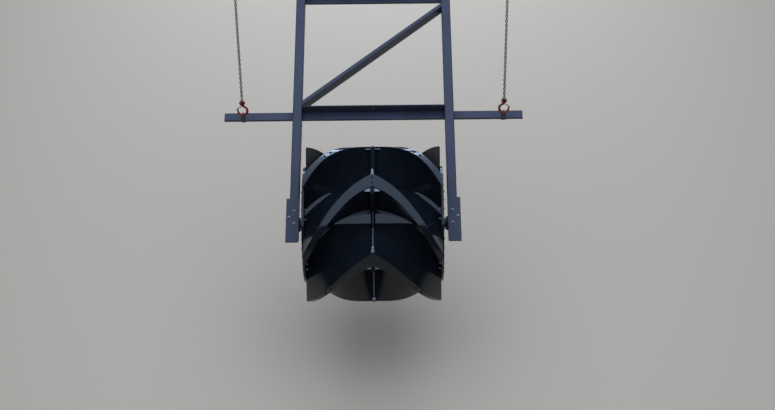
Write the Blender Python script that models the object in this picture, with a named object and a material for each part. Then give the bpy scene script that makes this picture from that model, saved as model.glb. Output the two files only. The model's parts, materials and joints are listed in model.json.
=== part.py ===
# Herringbone-bladed water turbine rotor, carried between the two arms of a swing frame.
# The frame turns on pins above a sill beam and hangs from two hoist chains.
# Metres. +X runs along the rotor's axle, +Y points upstream, +Z is up.
# The origin is the middle of the sill beam's underside, where the beam is bolted down.

import math

import bmesh
import bpy
import numpy
from mathutils import Matrix, Vector

# Clearances
SEAT_GAP = 0.0003          # between pieces that touch
PIN_CLEARANCE = 0.0006     # radial, round pins and the axle
SIDE_CLEARANCE = 0.006     # beside an eye between its cheeks

# Sill beam and pivot brackets
BEAM_LENGTH = 2.40
BEAM_WIDTH = 0.20
BEAM_HEIGHT = 0.20
BEAM_FLANGE = 0.015
BEAM_WEB = 0.009
BRACKET_BASE = 0.018
BRACKET_BASE_LENGTH = 0.22
BRACKET_BASE_WIDTH = 0.20
CHEEK_THICKNESS = 0.016
CHEEK_RADIUS = 0.070
PIVOT_RISE = 0.25          # pivot axis above the beam's top face
PIVOT_PIN_RADIUS = 0.025
PIN_HEAD_RADIUS = 0.036
PIN_HEAD_THICKNESS = 0.012

# Swing frame. Its own heights are counted from the line between the pivots and the axle.
ARM_SLOPE = 25.3           # degrees above level, rising upstream
ARM_SPACING = 1.498        # between the arms' centre lines
ARM_WIDTH = 0.090
ARM_DEPTH = 0.120
ARM_TOP = 0.080
ARM_CORNER = 0.012
ARM_TAIL = 0.249           # arm past the axle, at its lower end
ARM_END_RAKE = 40.0        # degrees by which the lower end is cut back underneath
FIRST_BAY = 1.300          # axle to the lower crossbar
BAY = 1.500                # crossbar to crossbar, and the last one to the pivot
EYE_THICKNESS = 0.040
EYE_RADIUS = 0.060
EYE_REACH = 0.200          # pivot axis to the arm's end
EYE_FOOT_THICKNESS = 0.020
EYE_SHOULDER_INSET = 0.010
EYE_ARC = 80.0             # degrees of the eye's round end, to either side

# Crossbars, each a flat foot bar under the arms with an upright plate between them, and braces
FOOT_WIDTH = 0.088
FOOT_THICKNESS = 0.028
FOOT_CORNER = 0.003
UPRIGHT_HEIGHT = 0.112
UPRIGHT_THICKNESS = 0.008
UPPER_CROSSBAR_SETBACK = 0.070   # from the arm's upper end to the crossbar's middle
BRACE_WIDTH = 0.039
BRACE_DEPTH = 0.112
BRACE_CORNER = 0.005
BRACE_LOW_STANDOFF = 0.013       # brace edge to the lower foot bar, along the arm
BRACE_HIGH_STANDOFF = 0.105      # brace edge to the upper foot bar, along the arm

# Chain lugs and shackles, on the foot bar of the lower crossbar
CHAIN_BAR_REACH = 1.480    # middle of the frame to the bar's outer end
LUG_REACH = 1.286          # middle of the frame to the lug
LUG_THICKNESS = 0.014
LUG_RADIUS = 0.0225
LUG_HOLE_RISE = 0.0545     # hole centre above the bar's top face
LUG_DROP = 0.018           # lug's foot below the bar's top face
SHACKLE_WIRE = 0.007       # radius
SHACKLE_BOW = 0.022        # radius of the bow's centre line
SHACKLE_RISE = 0.035       # pin to the bow's centre
SHACKLE_EYE_RADIUS = 0.013
SHACKLE_EYE_LENGTH = 0.016
SHACKLE_PIN_RADIUS = 0.0075
SHACKLE_PIN_END = 0.0145   # pin's end past the leg's centre line

# Bearings
SADDLE_WIDTH = 0.120
SADDLE_UPSTREAM = 0.235    # axle to the saddle's upper end
SADDLE_THICKNESS = 0.012
BEARING_LENGTH = 0.150     # of the flange, along the arm
BEARING_MIDDLE_RADIUS = 0.039
BEARING_END_RADIUS = 0.018
BEARING_FLANGE_THICKNESS = 0.016
BEARING_BOSS_RADIUS = 0.045
BEARING_THICKNESS = 0.034

# Rotor
ROTOR_RADIUS = 0.730
ROTOR_SIDE_CLEARANCE = 0.008     # hub to bearing boss
DRUM_RADIUS = 0.340
DRUM_WALL = 0.010
AXLE_RADIUS = 0.030
AXLE_END_GAP = 0.006       # axle end to the arm's inner face
SIDE_DISC_RADIUS = 0.545
SIDE_DISC_THICKNESS = 0.022
HUB_RADIUS = 0.075
HUB_THICKNESS = 0.010
BLADE_COUNT = 6
PLATE_THICKNESS = 0.014    # round the rotor, less square to the plate
LIP_WIDTH = 0.127          # round the rotor
LIP_THICKNESS = 0.010
ROOT_FLANGE_WIDTH = 0.056
ROOT_FLANGE_THICKNESS = 0.008
SKIN_THICKNESS = 0.012     # round the rotor, less square to the skin
SKIN_REAR_ANGLE = 59.5     # degrees from the blade's own zero, where its back skin meets the drum
SKIN_LAP_GAP = 0.6         # degrees from the skin's rear edge to the next blade's root flange
ROOT_CLEARANCE = 0.0009    # blade root over the drum, which is faceted
LIP_APEX_ANGLE = 28.0      # degrees above the line square to the viewer's
ROOT_APEX_ANGLE = 26.0
LIP_SWEEP = (18.7, 33.9, 4.7)    # degrees at the blade's end: straight, square and cube share
ROOT_SWEEP = (18.7, 33.9, 11.0)
VIEW_TILT = 33.4           # the angles above are counted from this far over level
CENTRE_BAR_HALF_WIDTH = 0.019
CENTRE_BAR_DEPTH = 0.050
CENTRE_BAR_DROP = 0.006    # bar top below the lip's outer face
RING_RADIUS = 0.385
RING_RIM_RADIUS = 0.402
RING_RIM_HALF_WIDTH = 0.004
COPE_CLEARANCE = 0.002

# Hooks and chains. Places on the hook are out from the hook's middle and up from its bowl's centre.
HOOK_WIRE = 0.0085         # radius
HOOK_BOWL = 0.041          # radius of the bowl's centre line
HOOK_POINT = (0.049, 0.027)
HOOK_BACK = ((-0.043, 0.016), (-0.037, 0.032), (-0.020, 0.047), (-0.005, 0.058))
HOOK_SHANK = 0.068         # bowl centre to the clevis
BOWL_START = -5.0          # degrees above level where the bowl meets the point
CLEVIS_SIZE = (0.044, 0.032, 0.046)
CLEVIS_PIN_RADIUS = 0.008
CLEVIS_PIN_REACH = 0.030
CHAIN_LENGTH = 1.290       # clevis to the top ring
CHAIN_WIDTH = 0.027
CHAIN_WIRE = 0.008         # diameter
RING_BEND = 0.030
RING_WIRE = 0.007
LATCH_THICKNESS = 0.010
LATCH_HEIGHT = 0.004
LATCH_GAP = 0.0009
HOOK_GAP = 0.0010          # hook to the inside of the shackle's bow

# Facets and steps
DRUM_FACETS = 96
DISC_FACETS = 64
ROUND_FACETS = 32
WIRE_FACETS = 12
HALF_ROUND_STEPS = 16
END_ROUND_STEPS = 6
CORNER_SEGMENTS = 2
BLADE_STEPS = 16
ROOT_STEPS = 3
LIP_STEPS = 2
SWEEP_SAMPLES = 2001

# Worked out from the sizes above
SLOPE = math.radians(ARM_SLOPE)
PIVOT_TO_AXLE = FIRST_BAY + 2.0 * BAY
PIVOT_HEIGHT = BEAM_HEIGHT + PIVOT_RISE
ARM_BOTTOM = ARM_TOP - ARM_DEPTH
ARM_INNER_FACE = (ARM_SPACING - ARM_WIDTH) / 2.0
ARM_OUTER_FACE = (ARM_SPACING + ARM_WIDTH) / 2.0
ARM_UPPER_END = -EYE_REACH
ARM_LOWER_END = -(PIVOT_TO_AXLE + ARM_TAIL)
END_CUT = ARM_DEPTH * math.tan(math.radians(ARM_END_RAKE))
LOWER_CROSSBAR = -(PIVOT_TO_AXLE - FIRST_BAY)
MIDDLE_CROSSBAR = LOWER_CROSSBAR + BAY
UPPER_CROSSBAR = ARM_UPPER_END - UPPER_CROSSBAR_SETBACK
FOOT_TOP = ARM_BOTTOM - SEAT_GAP
FOOT_BOTTOM = FOOT_TOP - FOOT_THICKNESS
LUG_BACK = LOWER_CROSSBAR - FOOT_WIDTH / 2.0 - SEAT_GAP
LUG_MIDDLE = LUG_BACK - LUG_THICKNESS / 2.0
LUG_HOLE = FOOT_TOP + LUG_HOLE_RISE
BEARING_FACE = ARM_INNER_FACE - SEAT_GAP
HUB_FACE = BEARING_FACE - BEARING_THICKNESS - ROTOR_SIDE_CLEARANCE
DISC_OUTER_FACE = HUB_FACE - HUB_THICKNESS
DISC_INNER_FACE = DISC_OUTER_FACE - SIDE_DISC_THICKNESS
ROTOR_HALF_WIDTH = DISC_INNER_FACE - SEAT_GAP
CLEVIS_FOOT = HOOK_BOWL + HOOK_SHANK       # up from the hinge line in the bottom of the bowl
CLEVIS_TOP = CLEVIS_FOOT + CLEVIS_SIZE[2]
CLEVIS_MIDDLE = (CLEVIS_FOOT + CLEVIS_TOP) / 2.0


def clear_scene():
    for thing in list(bpy.data.objects):
        bpy.data.objects.remove(thing, do_unlink=True)


def finish(name, colour, roughness, metallic):
    material = bpy.data.materials.new(name)
    material.use_nodes = True
    shader = material.node_tree.nodes["Principled BSDF"]
    shader.inputs["Base Color"].default_value = (*colour, 1.0)
    shader.inputs["Roughness"].default_value = roughness
    shader.inputs["Metallic"].default_value = metallic
    material.diffuse_color = (*colour, 1.0)
    return material


def empty(name, location, tilt, parent=None):
    thing = bpy.data.objects.new(name, None)
    bpy.context.collection.objects.link(thing)
    thing.parent = parent
    thing.location = location
    thing.rotation_euler = (tilt, 0.0, 0.0)
    return thing


def place(name, mesh_data, material, parent, location=(0.0, 0.0, 0.0), smooth=False):
    mesh = bpy.data.meshes.new(name)
    bmesh.ops.recalc_face_normals(mesh_data, faces=mesh_data.faces)
    mesh_data.to_mesh(mesh)
    mesh_data.free()
    mesh.materials.append(material)
    if smooth:
        mesh.shade_smooth()
        mesh.set_sharp_from_angle(angle=math.radians(35.0))
    thing = bpy.data.objects.new(name, mesh)
    bpy.context.collection.objects.link(thing)
    thing.parent = parent
    thing.location = location
    return thing


def box(low, high):
    shape = bmesh.new()
    size = Vector(high) - Vector(low)
    middle = (Vector(high) + Vector(low)) / 2.0
    turn = Matrix.Translation(middle) @ Matrix.Diagonal((*size, 1.0))
    bmesh.ops.create_cube(shape, size=1.0, matrix=turn)
    return shape


# An outline in the first two of the axes, pushed along the third.
def prism(outline, low, high, axes="YZX"):
    shape = bmesh.new()
    order = ["XYZ".index(letter) for letter in axes]
    rings = []
    for depth in (low, high):
        ring = []
        for first, second in outline:
            point = [0.0, 0.0, 0.0]
            point[order[0]] = first
            point[order[1]] = second
            point[order[2]] = depth
            ring.append(shape.verts.new(point))
        rings.append(ring)
    count = len(outline)
    for index in range(count):
        after = (index + 1) % count
        shape.faces.new((rings[0][index], rings[0][after], rings[1][after], rings[1][index]))
    shape.faces.new(rings[0])
    shape.faces.new(rings[1])
    return shape


# A profile of (x, radius) points turned round the X axis: a closed ring, or capped at its ends.
def turned(profile, facets, closed=True):
    shape = bmesh.new()
    rings = []
    for along, radius in profile:
        ring = []
        for step in range(facets):
            angle = math.tau * step / facets
            ring.append(shape.verts.new((along, radius * math.cos(angle), radius * math.sin(angle))))
        rings.append(ring)
    pairs = list(zip(rings, rings[1:]))
    if closed:
        pairs.append((rings[-1], rings[0]))
    for ring, after in pairs:
        for step in range(facets):
            turn = (step + 1) % facets
            shape.faces.new((ring[step], ring[turn], after[turn], after[step]))
    if not closed:
        shape.faces.new(rings[0])
        shape.faces.new(rings[-1])
    return shape


# A rod along the Y axis, cut from the same profile as one along X.
def turned_across(profile, facets):
    shape = turned(profile, facets, closed=False)
    bmesh.ops.rotate(shape, verts=shape.verts, matrix=Matrix.Rotation(math.radians(90.0), 3, "Z"))
    return shape


def arc(centre, radius, start, end, steps):
    points = []
    for step in range(steps + 1):
        angle = math.radians(start + (end - start) * step / steps)
        points.append((centre[0] + radius * math.cos(angle), centre[1] + radius * math.sin(angle)))
    return points


def round_corners(thing, width):
    bevel = thing.modifiers.new("corners", "BEVEL")
    bevel.width = width
    bevel.segments = CORNER_SEGMENTS
    bevel.limit_method = "ANGLE"
    bevel.angle_limit = math.radians(30.0)


def combine(thing, tool, operation):
    tool.hide_render = True
    tool.display_type = "WIRE"
    step = thing.modifiers.new(operation.lower(), "BOOLEAN")
    step.operation = operation
    step.solver = "EXACT"
    step.object = tool


def bore(thing, name, radius, low, high, location, parent, material):
    shape = turned([(low, radius), (high, radius)], ROUND_FACETS, closed=False)
    tool = place(name, shape, material, parent, location)
    combine(thing, tool, "DIFFERENCE")


def sill_beam(paint):
    half = BEAM_WIDTH / 2.0
    web = BEAM_WEB / 2.0
    low = BEAM_FLANGE
    high = BEAM_HEIGHT - BEAM_FLANGE
    outline = [(-half, 0.0), (half, 0.0), (half, low), (web, low), (web, high), (half, high),
               (half, BEAM_HEIGHT), (-half, BEAM_HEIGHT), (-half, high), (-web, high), (-web, low), (-half, low)]
    place("sill_beam", prism(outline, -BEAM_LENGTH / 2.0, BEAM_LENGTH / 2.0), paint, None)


def pivot_bracket(side, sign, paint, steel):
    middle = sign * ARM_SPACING / 2.0
    foot = -(PIVOT_RISE - SEAT_GAP)
    half_gap = EYE_THICKNESS / 2.0 + SIDE_CLEARANCE
    outer = half_gap + CHEEK_THICKNESS
    base = box((-BRACKET_BASE_WIDTH / 2.0, -BRACKET_BASE_LENGTH / 2.0, foot),
               (BRACKET_BASE_WIDTH / 2.0, BRACKET_BASE_LENGTH / 2.0, foot + BRACKET_BASE))
    bracket = place(f"pivot_bracket_{side}", base, paint, None, (middle, 0.0, PIVOT_HEIGHT))
    outline = arc((0.0, 0.0), CHEEK_RADIUS, 0.0, 180.0, HALF_ROUND_STEPS)
    outline += [(-CHEEK_RADIUS, foot + BRACKET_BASE / 2.0), (CHEEK_RADIUS, foot + BRACKET_BASE / 2.0)]
    for number, edge in enumerate((-outer, half_gap)):
        cheek = place(f"cheek_{side}_{number}", prism(outline, edge, edge + CHEEK_THICKNESS),
                      paint, None, bracket.location)
        combine(bracket, cheek, "UNION")
    hole = PIVOT_PIN_RADIUS + PIN_CLEARANCE
    bore(bracket, f"cheek_bore_{side}", hole, -2.0 * outer, 2.0 * outer, bracket.location, None, paint)
    head = outer + SEAT_GAP
    profile = [(-head - PIN_HEAD_THICKNESS, PIN_HEAD_RADIUS), (-head, PIN_HEAD_RADIUS), (-head, PIVOT_PIN_RADIUS),
               (head, PIVOT_PIN_RADIUS), (head, PIN_HEAD_RADIUS), (head + PIN_HEAD_THICKNESS, PIN_HEAD_RADIUS)]
    pin = turned(profile, ROUND_FACETS, closed=False)
    place(f"pivot_pin_{side}", pin, steel, None, bracket.location, smooth=True)


def arm(side, sign, paint, frame):
    middle = sign * ARM_SPACING / 2.0
    outline = [(ARM_LOWER_END, ARM_TOP), (ARM_LOWER_END + END_CUT, ARM_BOTTOM),
               (ARM_UPPER_END, ARM_BOTTOM), (ARM_UPPER_END, ARM_TOP)]
    shape = prism(outline, middle - ARM_WIDTH / 2.0, middle + ARM_WIDTH / 2.0)
    round_corners(place(f"arm_{side}", shape, paint, frame), ARM_CORNER)


def pivot_eye(side, sign, paint, frame):
    middle = sign * ARM_SPACING / 2.0
    low = ARM_UPPER_END + SEAT_GAP
    foot = box((middle - ARM_WIDTH / 2.0, low, ARM_BOTTOM),
               (middle + ARM_WIDTH / 2.0, low + EYE_FOOT_THICKNESS, ARM_TOP))
    eye = place(f"pivot_eye_{side}", foot, paint, frame)
    half = EYE_THICKNESS / 2.0
    start = low + EYE_FOOT_THICKNESS / 2.0
    outline = arc((0.0, 0.0), EYE_RADIUS, -EYE_ARC, EYE_ARC, HALF_ROUND_STEPS)
    outline += [(start, ARM_TOP - EYE_SHOULDER_INSET), (start, ARM_BOTTOM + EYE_SHOULDER_INSET)]
    plate = place(f"eye_plate_{side}", prism(outline, middle - half, middle + half), paint, frame)
    combine(eye, plate, "UNION")
    hole = PIVOT_PIN_RADIUS + PIN_CLEARANCE
    bore(eye, f"eye_bore_{side}", hole, middle - ARM_WIDTH, middle + ARM_WIDTH, (0.0, 0.0, 0.0), frame, paint)


# The upright plate of a crossbar, standing on the upstream edge of its foot bar.
def upright(name, middle, low, paint, frame):
    back = middle + FOOT_WIDTH / 2.0
    reach = ARM_INNER_FACE - SEAT_GAP
    shape = box((-reach, back - UPRIGHT_THICKNESS, low), (reach, back, ARM_BOTTOM + UPRIGHT_HEIGHT))
    return place(name, shape, paint, frame)


def foot_bar(name, middle, reach, paint, frame):
    half = FOOT_WIDTH / 2.0
    shape = box((-reach, middle - half, FOOT_BOTTOM), (reach, middle + half, FOOT_TOP))
    return place(name, shape, paint, frame)


def crossbar(name, middle, paint, frame):
    bar = foot_bar(name, middle, ARM_OUTER_FACE, paint, frame)
    plate = upright(f"{name}_upright", middle, FOOT_TOP - FOOT_THICKNESS / 2.0, paint, frame)
    combine(bar, plate, "UNION")


# The lower crossbar's foot reaches past both arms and carries the chains.
def chain_bar(paint, frame):
    bar = foot_bar("chain_bar", LOWER_CROSSBAR, CHAIN_BAR_REACH, paint, frame)
    round_corners(bar, FOOT_CORNER)
    upright("crossbar_lower", LOWER_CROSSBAR, ARM_BOTTOM, paint, frame)


# A brace from one arm to the other, its ends cut flush with the arms' inner faces.
def brace(name, sign, low_bar, high_bar, paint, frame):
    reach = ARM_INNER_FACE - SEAT_GAP
    start = low_bar + FOOT_WIDTH / 2.0 + BRACE_LOW_STANDOFF
    end = high_bar - FOOT_WIDTH / 2.0 - BRACE_HIGH_STANDOFF
    slope = math.atan2(end - start, 2.0 * reach)
    cut = BRACE_WIDTH / math.cos(slope)
    outline = [(-sign * reach, start), (sign * reach, end - cut), (sign * reach, end), (-sign * reach, start + cut)]
    shape = prism(outline, ARM_BOTTOM, ARM_BOTTOM + BRACE_DEPTH, axes="XYZ")
    round_corners(place(name, shape, paint, frame), BRACE_CORNER)


# A lug plate welded to the front edge of the chain bar, its hole facing along the arms.
def lug(side, sign, paint, frame):
    middle = sign * LUG_REACH
    foot = FOOT_TOP - LUG_DROP
    outline = arc((middle, LUG_HOLE), LUG_RADIUS, 0.0, 180.0, HALF_ROUND_STEPS)
    outline += [(middle - LUG_RADIUS, foot), (middle + LUG_RADIUS, foot)]
    shape = prism(outline, LUG_BACK - LUG_THICKNESS, LUG_BACK, axes="XZY")
    plate = place(f"chain_lug_{side}", shape, paint, frame)
    hole = SHACKLE_PIN_RADIUS + PIN_CLEARANCE
    tool = turned_across([(-LUG_THICKNESS, hole), (LUG_THICKNESS, hole)], ROUND_FACETS)
    cutter = place(f"lug_hole_{side}", tool, paint, frame, (middle, LUG_MIDDLE, LUG_HOLE))
    combine(plate, cutter, "DIFFERENCE")


# A bow shackle through the lug: the bow with an eye round each end of its pin.
def shackle(side, sign, steel, frame):
    centre = (sign * LUG_REACH, LUG_MIDDLE, LUG_HOLE)
    path = [(-SHACKLE_BOW, 0.0)] + arc((0.0, SHACKLE_RISE), SHACKLE_BOW, 180.0, 0.0, HALF_ROUND_STEPS)
    path.append((SHACKLE_BOW, 0.0))
    points = [Vector((0.0, along, up)) for along, up in path]
    bow = bent_bar(points, SHACKLE_WIRE, Vector((1.0, 0.0, 0.0)))
    thing = place(f"shackle_{side}", bow, steel, frame, centre, smooth=True)
    half = SHACKLE_EYE_LENGTH / 2.0
    for number, along in enumerate((-SHACKLE_BOW, SHACKLE_BOW)):
        shape = turned_across([(along - half, SHACKLE_EYE_RADIUS), (along + half, SHACKLE_EYE_RADIUS)], ROUND_FACETS)
        combine(thing, place(f"shackle_eye_{side}_{number}", shape, steel, frame, centre), "UNION")
    reach = SHACKLE_BOW + SHACKLE_PIN_END
    pin = turned_across([(-reach, SHACKLE_PIN_RADIUS), (reach, SHACKLE_PIN_RADIUS)], ROUND_FACETS)
    combine(thing, place(f"shackle_pin_{side}", pin, steel, frame, centre), "UNION")


# The bearing's saddle: a plate over the arm's end, with a thick edge down the arm's outer side.
def saddle(side, sign, paint, frame):
    inner = sign * ARM_INNER_FACE
    outer = sign * (ARM_INNER_FACE + SADDLE_WIDTH)
    drop = sign * (ARM_OUTER_FACE + SEAT_GAP)
    low = ARM_LOWER_END
    high = -PIVOT_TO_AXLE + SADDLE_UPSTREAM
    roof = ARM_TOP + SEAT_GAP
    top = roof + SADDLE_THICKNESS
    outline = [(low, top), (high, top), (high, ARM_BOTTOM), (low + END_CUT, ARM_BOTTOM), (low, ARM_TOP)]
    ends = sorted((drop, outer))
    edge = place(f"bearing_saddle_{side}", prism(outline, ends[0], ends[1]), paint, frame)
    ends = sorted((inner, (drop + outer) / 2.0))
    plate = box((ends[0], low, roof), (ends[1], high, top))
    combine(edge, place(f"saddle_plate_{side}", plate, paint, frame), "UNION")


# An oval flange with a bolt place at each end, and a boss round the axle.
def bearing(side, sign, cast, frame):
    out = BEARING_LENGTH / 2.0 - BEARING_END_RADIUS
    lean = math.degrees(math.acos((BEARING_MIDDLE_RADIUS - BEARING_END_RADIUS) / out))
    outline = arc((out, 0.0), BEARING_END_RADIUS, -lean, lean, END_ROUND_STEPS)
    outline += arc((0.0, 0.0), BEARING_MIDDLE_RADIUS, lean, 180.0 - lean, END_ROUND_STEPS)
    outline += arc((-out, 0.0), BEARING_END_RADIUS, 180.0 - lean, 180.0 + lean, END_ROUND_STEPS)
    outline += arc((0.0, 0.0), BEARING_MIDDLE_RADIUS, 180.0 + lean, 360.0 - lean, END_ROUND_STEPS)
    ends = sorted((sign * (BEARING_FACE - BEARING_FLANGE_THICKNESS), sign * BEARING_FACE))
    axle_place = (0.0, -PIVOT_TO_AXLE, 0.0)
    housing = place(f"axle_bearing_{side}", prism(outline, ends[0], ends[1]), cast, frame, axle_place)
    ends = sorted((sign * (BEARING_FACE - BEARING_THICKNESS), sign * (BEARING_FACE - BEARING_FLANGE_THICKNESS / 2.0)))
    boss_shape = turned([(ends[0], BEARING_BOSS_RADIUS), (ends[1], BEARING_BOSS_RADIUS)], ROUND_FACETS, closed=False)
    boss = place(f"bearing_boss_{side}", boss_shape, cast, frame, axle_place)
    combine(housing, boss, "UNION")
    hole = AXLE_RADIUS + PIN_CLEARANCE
    low, high = sorted((sign * (BEARING_FACE - 2.0 * BEARING_THICKNESS), sign * (BEARING_FACE + BEARING_THICKNESS)))
    bore(housing, f"bearing_bore_{side}", hole, low, high, axle_place, frame, cast)


def axle(steel, rotor):
    reach = ARM_INNER_FACE - AXLE_END_GAP
    place("axle", turned([(-reach, AXLE_RADIUS), (reach, AXLE_RADIUS)], ROUND_FACETS, closed=False),
          steel, rotor, smooth=True)


def drum(paint, rotor):
    inner = DRUM_RADIUS - DRUM_WALL
    reach = ROTOR_HALF_WIDTH
    profile = [(-reach, inner), (-reach, DRUM_RADIUS), (reach, DRUM_RADIUS), (reach, inner)]
    place("drum", turned(profile, DRUM_FACETS), paint, rotor, smooth=True)


def side_disc(side, sign, paint, rotor):
    hole = AXLE_RADIUS + PIN_CLEARANCE
    profile = [(sign * DISC_INNER_FACE, hole), (sign * DISC_INNER_FACE, SIDE_DISC_RADIUS),
               (sign * DISC_OUTER_FACE, SIDE_DISC_RADIUS), (sign * DISC_OUTER_FACE, HUB_RADIUS),
               (sign * HUB_FACE, HUB_RADIUS), (sign * HUB_FACE, hole)]
    place(f"side_disc_{side}", turned(profile, DISC_FACETS), paint, rotor, smooth=True)


# The joint between the two half drums: a wide band with a thin rim.
def centre_ring(paint, rotor):
    seat = DRUM_RADIUS + SEAT_GAP
    wide = CENTRE_BAR_HALF_WIDTH
    rim = RING_RIM_HALF_WIDTH
    profile = [(-wide, seat), (-wide, RING_RADIUS), (-rim, RING_RADIUS), (-rim, RING_RIM_RADIUS),
               (rim, RING_RIM_RADIUS), (rim, RING_RADIUS), (wide, RING_RADIUS), (wide, seat)]
    place("centre_ring", turned(profile, DRUM_FACETS), paint, rotor, smooth=True)


def swept(shares, portion):
    straight, square, cube = shares
    return straight * portion + square * portion ** 2 + cube * portion ** 3


# A point of the rotor. The angle is in degrees, and grows as the side towards the viewer rises.
def rotor_point(along, radius, angle):
    turn = math.radians(angle + VIEW_TILT)
    return (along, -radius * math.cos(turn), radius * math.sin(turn))


# One section of a blade, as (radius, angle) points in order: root flange, plate, lip, and the
# flat back skin from the lip's upper edge down to the drum, which closes the blade to a wedge.
def blade_section(portion):
    lip_angle = LIP_APEX_ANGLE - swept(LIP_SWEEP, portion)
    root_angle = ROOT_APEX_ANGLE - swept(ROOT_SWEEP, portion)
    root = DRUM_RADIUS + ROOT_CLEARANCE
    flange = root + ROOT_FLANGE_THICKNESS
    under_lip = ROTOR_RADIUS - LIP_THICKNESS

    def degrees(width, radius):
        return math.degrees(width / radius)

    low = root_angle - degrees(ROOT_FLANGE_WIDTH, root)
    plate_root = root_angle + degrees(PLATE_THICKNESS, root)
    plate_tip = lip_angle + degrees(PLATE_THICKNESS, under_lip)
    lip_front = lip_angle + degrees(LIP_WIDTH, ROTOR_RADIUS)
    points = []
    for step in range(ROOT_STEPS + 1):
        points.append((root, low + (plate_root - low) * step / ROOT_STEPS))
    points.append((under_lip, plate_tip))
    points.append((under_lip, (plate_tip + lip_front) / 2.0))
    points.append((under_lip, lip_front - degrees(SKIN_THICKNESS, under_lip)))
    next_flange = 360.0 / BLADE_COUNT + low
    rear = min(SKIN_REAR_ANGLE, next_flange - SKIN_LAP_GAP)
    points.append((root, rear - degrees(SKIN_THICKNESS, root)))
    points.append((root, rear))
    for step in range(LIP_STEPS + 1):
        points.append((ROTOR_RADIUS, lip_front + (lip_angle - lip_front) * step / LIP_STEPS))
    points.append((flange, root_angle))
    points.append((flange, (root_angle + low) / 2.0))
    points.append((flange, low))
    return points


# Stations across a half blade, closer together where the blade sweeps back faster.
def blade_stations():
    fine = numpy.linspace(0.0, 1.0, SWEEP_SAMPLES)
    targets = numpy.linspace(0.0, swept(LIP_SWEEP, 1.0), BLADE_STEPS + 1)
    return numpy.interp(targets, swept(LIP_SWEEP, fine), fine).tolist()


def blade(number, paint, rotor):
    turn = number * 360.0 / BLADE_COUNT
    stations = blade_stations()
    portions = [-value for value in reversed(stations[1:])] + stations
    shape = bmesh.new()
    rings = []
    for portion in portions:
        ring = []
        for radius, angle in blade_section(abs(portion)):
            ring.append(shape.verts.new(rotor_point(portion * ROTOR_HALF_WIDTH, radius, angle + turn)))
        rings.append(ring)
    count = len(rings[0])
    for ring, after in zip(rings, rings[1:]):
        for index in range(count):
            beside = (index + 1) % count
            shape.faces.new((ring[index], ring[beside], after[beside], after[index]))
    # the swept faces are slightly twisted, so each is split into two flat ones
    bmesh.ops.triangulate(shape, faces=shape.faces, quad_method="SHORT_EDGE")
    shape.faces.new(rings[0])
    shape.faces.new(rings[-1])
    thing = place(f"blade_{number + 1}", shape, paint, rotor, smooth=True)
    reach = CENTRE_BAR_HALF_WIDTH + COPE_CLEARANCE
    radius = RING_RIM_RADIUS + COPE_CLEARANCE
    cope = place(f"cope_{number + 1}", turned([(-reach, radius), (reach, radius)], DRUM_FACETS, closed=False),
                 paint, rotor)
    combine(thing, cope, "DIFFERENCE")
    combine(thing, centre_bar(number, turn, paint, rotor), "UNION")


# The stiffening bar down the middle of a blade's hollow side.
def centre_bar(number, turn, paint, rotor):
    top = ROTOR_RADIUS - CENTRE_BAR_DROP
    low = RING_RIM_RADIUS + 2.0 * COPE_CLEARANCE
    sink = PLATE_THICKNESS / 2.0
    corners = []
    for radius, angle, offset in ((low, ROOT_APEX_ANGLE, -CENTRE_BAR_DEPTH), (low, ROOT_APEX_ANGLE, sink),
                                  (top, LIP_APEX_ANGLE, sink), (top, LIP_APEX_ANGLE, -CENTRE_BAR_DEPTH)):
        corners.append(rotor_point(0.0, radius, angle + turn + math.degrees(offset / radius)))
    outline = [(corner[1], corner[2]) for corner in corners]
    shape = prism(outline, -CENTRE_BAR_HALF_WIDTH, CENTRE_BAR_HALF_WIDTH)
    return place(f"centre_bar_{number + 1}", shape, paint, rotor)


# A round bar along a flat path. The last value is the direction square to the path's plane.
def bent_bar(path, radius, square):
    shape = bmesh.new()
    rings = []
    for index, point in enumerate(path):
        before = path[max(index - 1, 0)]
        after = path[min(index + 1, len(path) - 1)]
        side = (after - before).normalized().cross(square)
        ring = []
        for step in range(WIRE_FACETS):
            angle = math.tau * step / WIRE_FACETS
            ring.append(shape.verts.new(point + (side * math.cos(angle) + square * math.sin(angle)) * radius))
        rings.append(ring)
    for ring, after in zip(rings, rings[1:]):
        for step in range(WIRE_FACETS):
            turn = (step + 1) % WIRE_FACETS
            shape.faces.new((ring[step], ring[turn], after[turn], after[step]))
    shape.faces.new(rings[0])
    shape.faces.new(rings[-1])
    return shape


# A place on the hook, from its outward and upward share. The hook's back is towards the arm.
def hook_place(sign, out, up):
    return Vector((sign * out, 0.0, HOOK_BOWL + up))


def hook(side, sign, paint, chain):
    path = [hook_place(sign, *HOOK_POINT)]
    for out, up in arc((0.0, 0.0), HOOK_BOWL, BOWL_START, -180.0, HALF_ROUND_STEPS):
        path.append(hook_place(sign, out, up))
    for out, up in HOOK_BACK:
        path.append(hook_place(sign, out, up))
    path += [Vector((0.0, 0.0, CLEVIS_FOOT)), Vector((0.0, 0.0, CLEVIS_MIDDLE))]
    bar = bent_bar(path, HOOK_WIRE, Vector((0.0, 1.0, 0.0)))
    thing = place(f"hook_{side}", bar, paint, chain, smooth=True)
    wide, deep = CLEVIS_SIZE[0] / 2.0, CLEVIS_SIZE[1] / 2.0
    block = box((-wide, -deep, CLEVIS_FOOT), (wide, deep, CLEVIS_TOP))
    combine(thing, place(f"clevis_{side}", block, paint, chain), "UNION")
    pin = turned([(-CLEVIS_PIN_REACH, CLEVIS_PIN_RADIUS), (CLEVIS_PIN_REACH, CLEVIS_PIN_RADIUS)],
                 ROUND_FACETS, closed=False)
    combine(thing, place(f"clevis_pin_{side}", pin, paint, chain, (0.0, 0.0, CLEVIS_MIDDLE)), "UNION")


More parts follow.
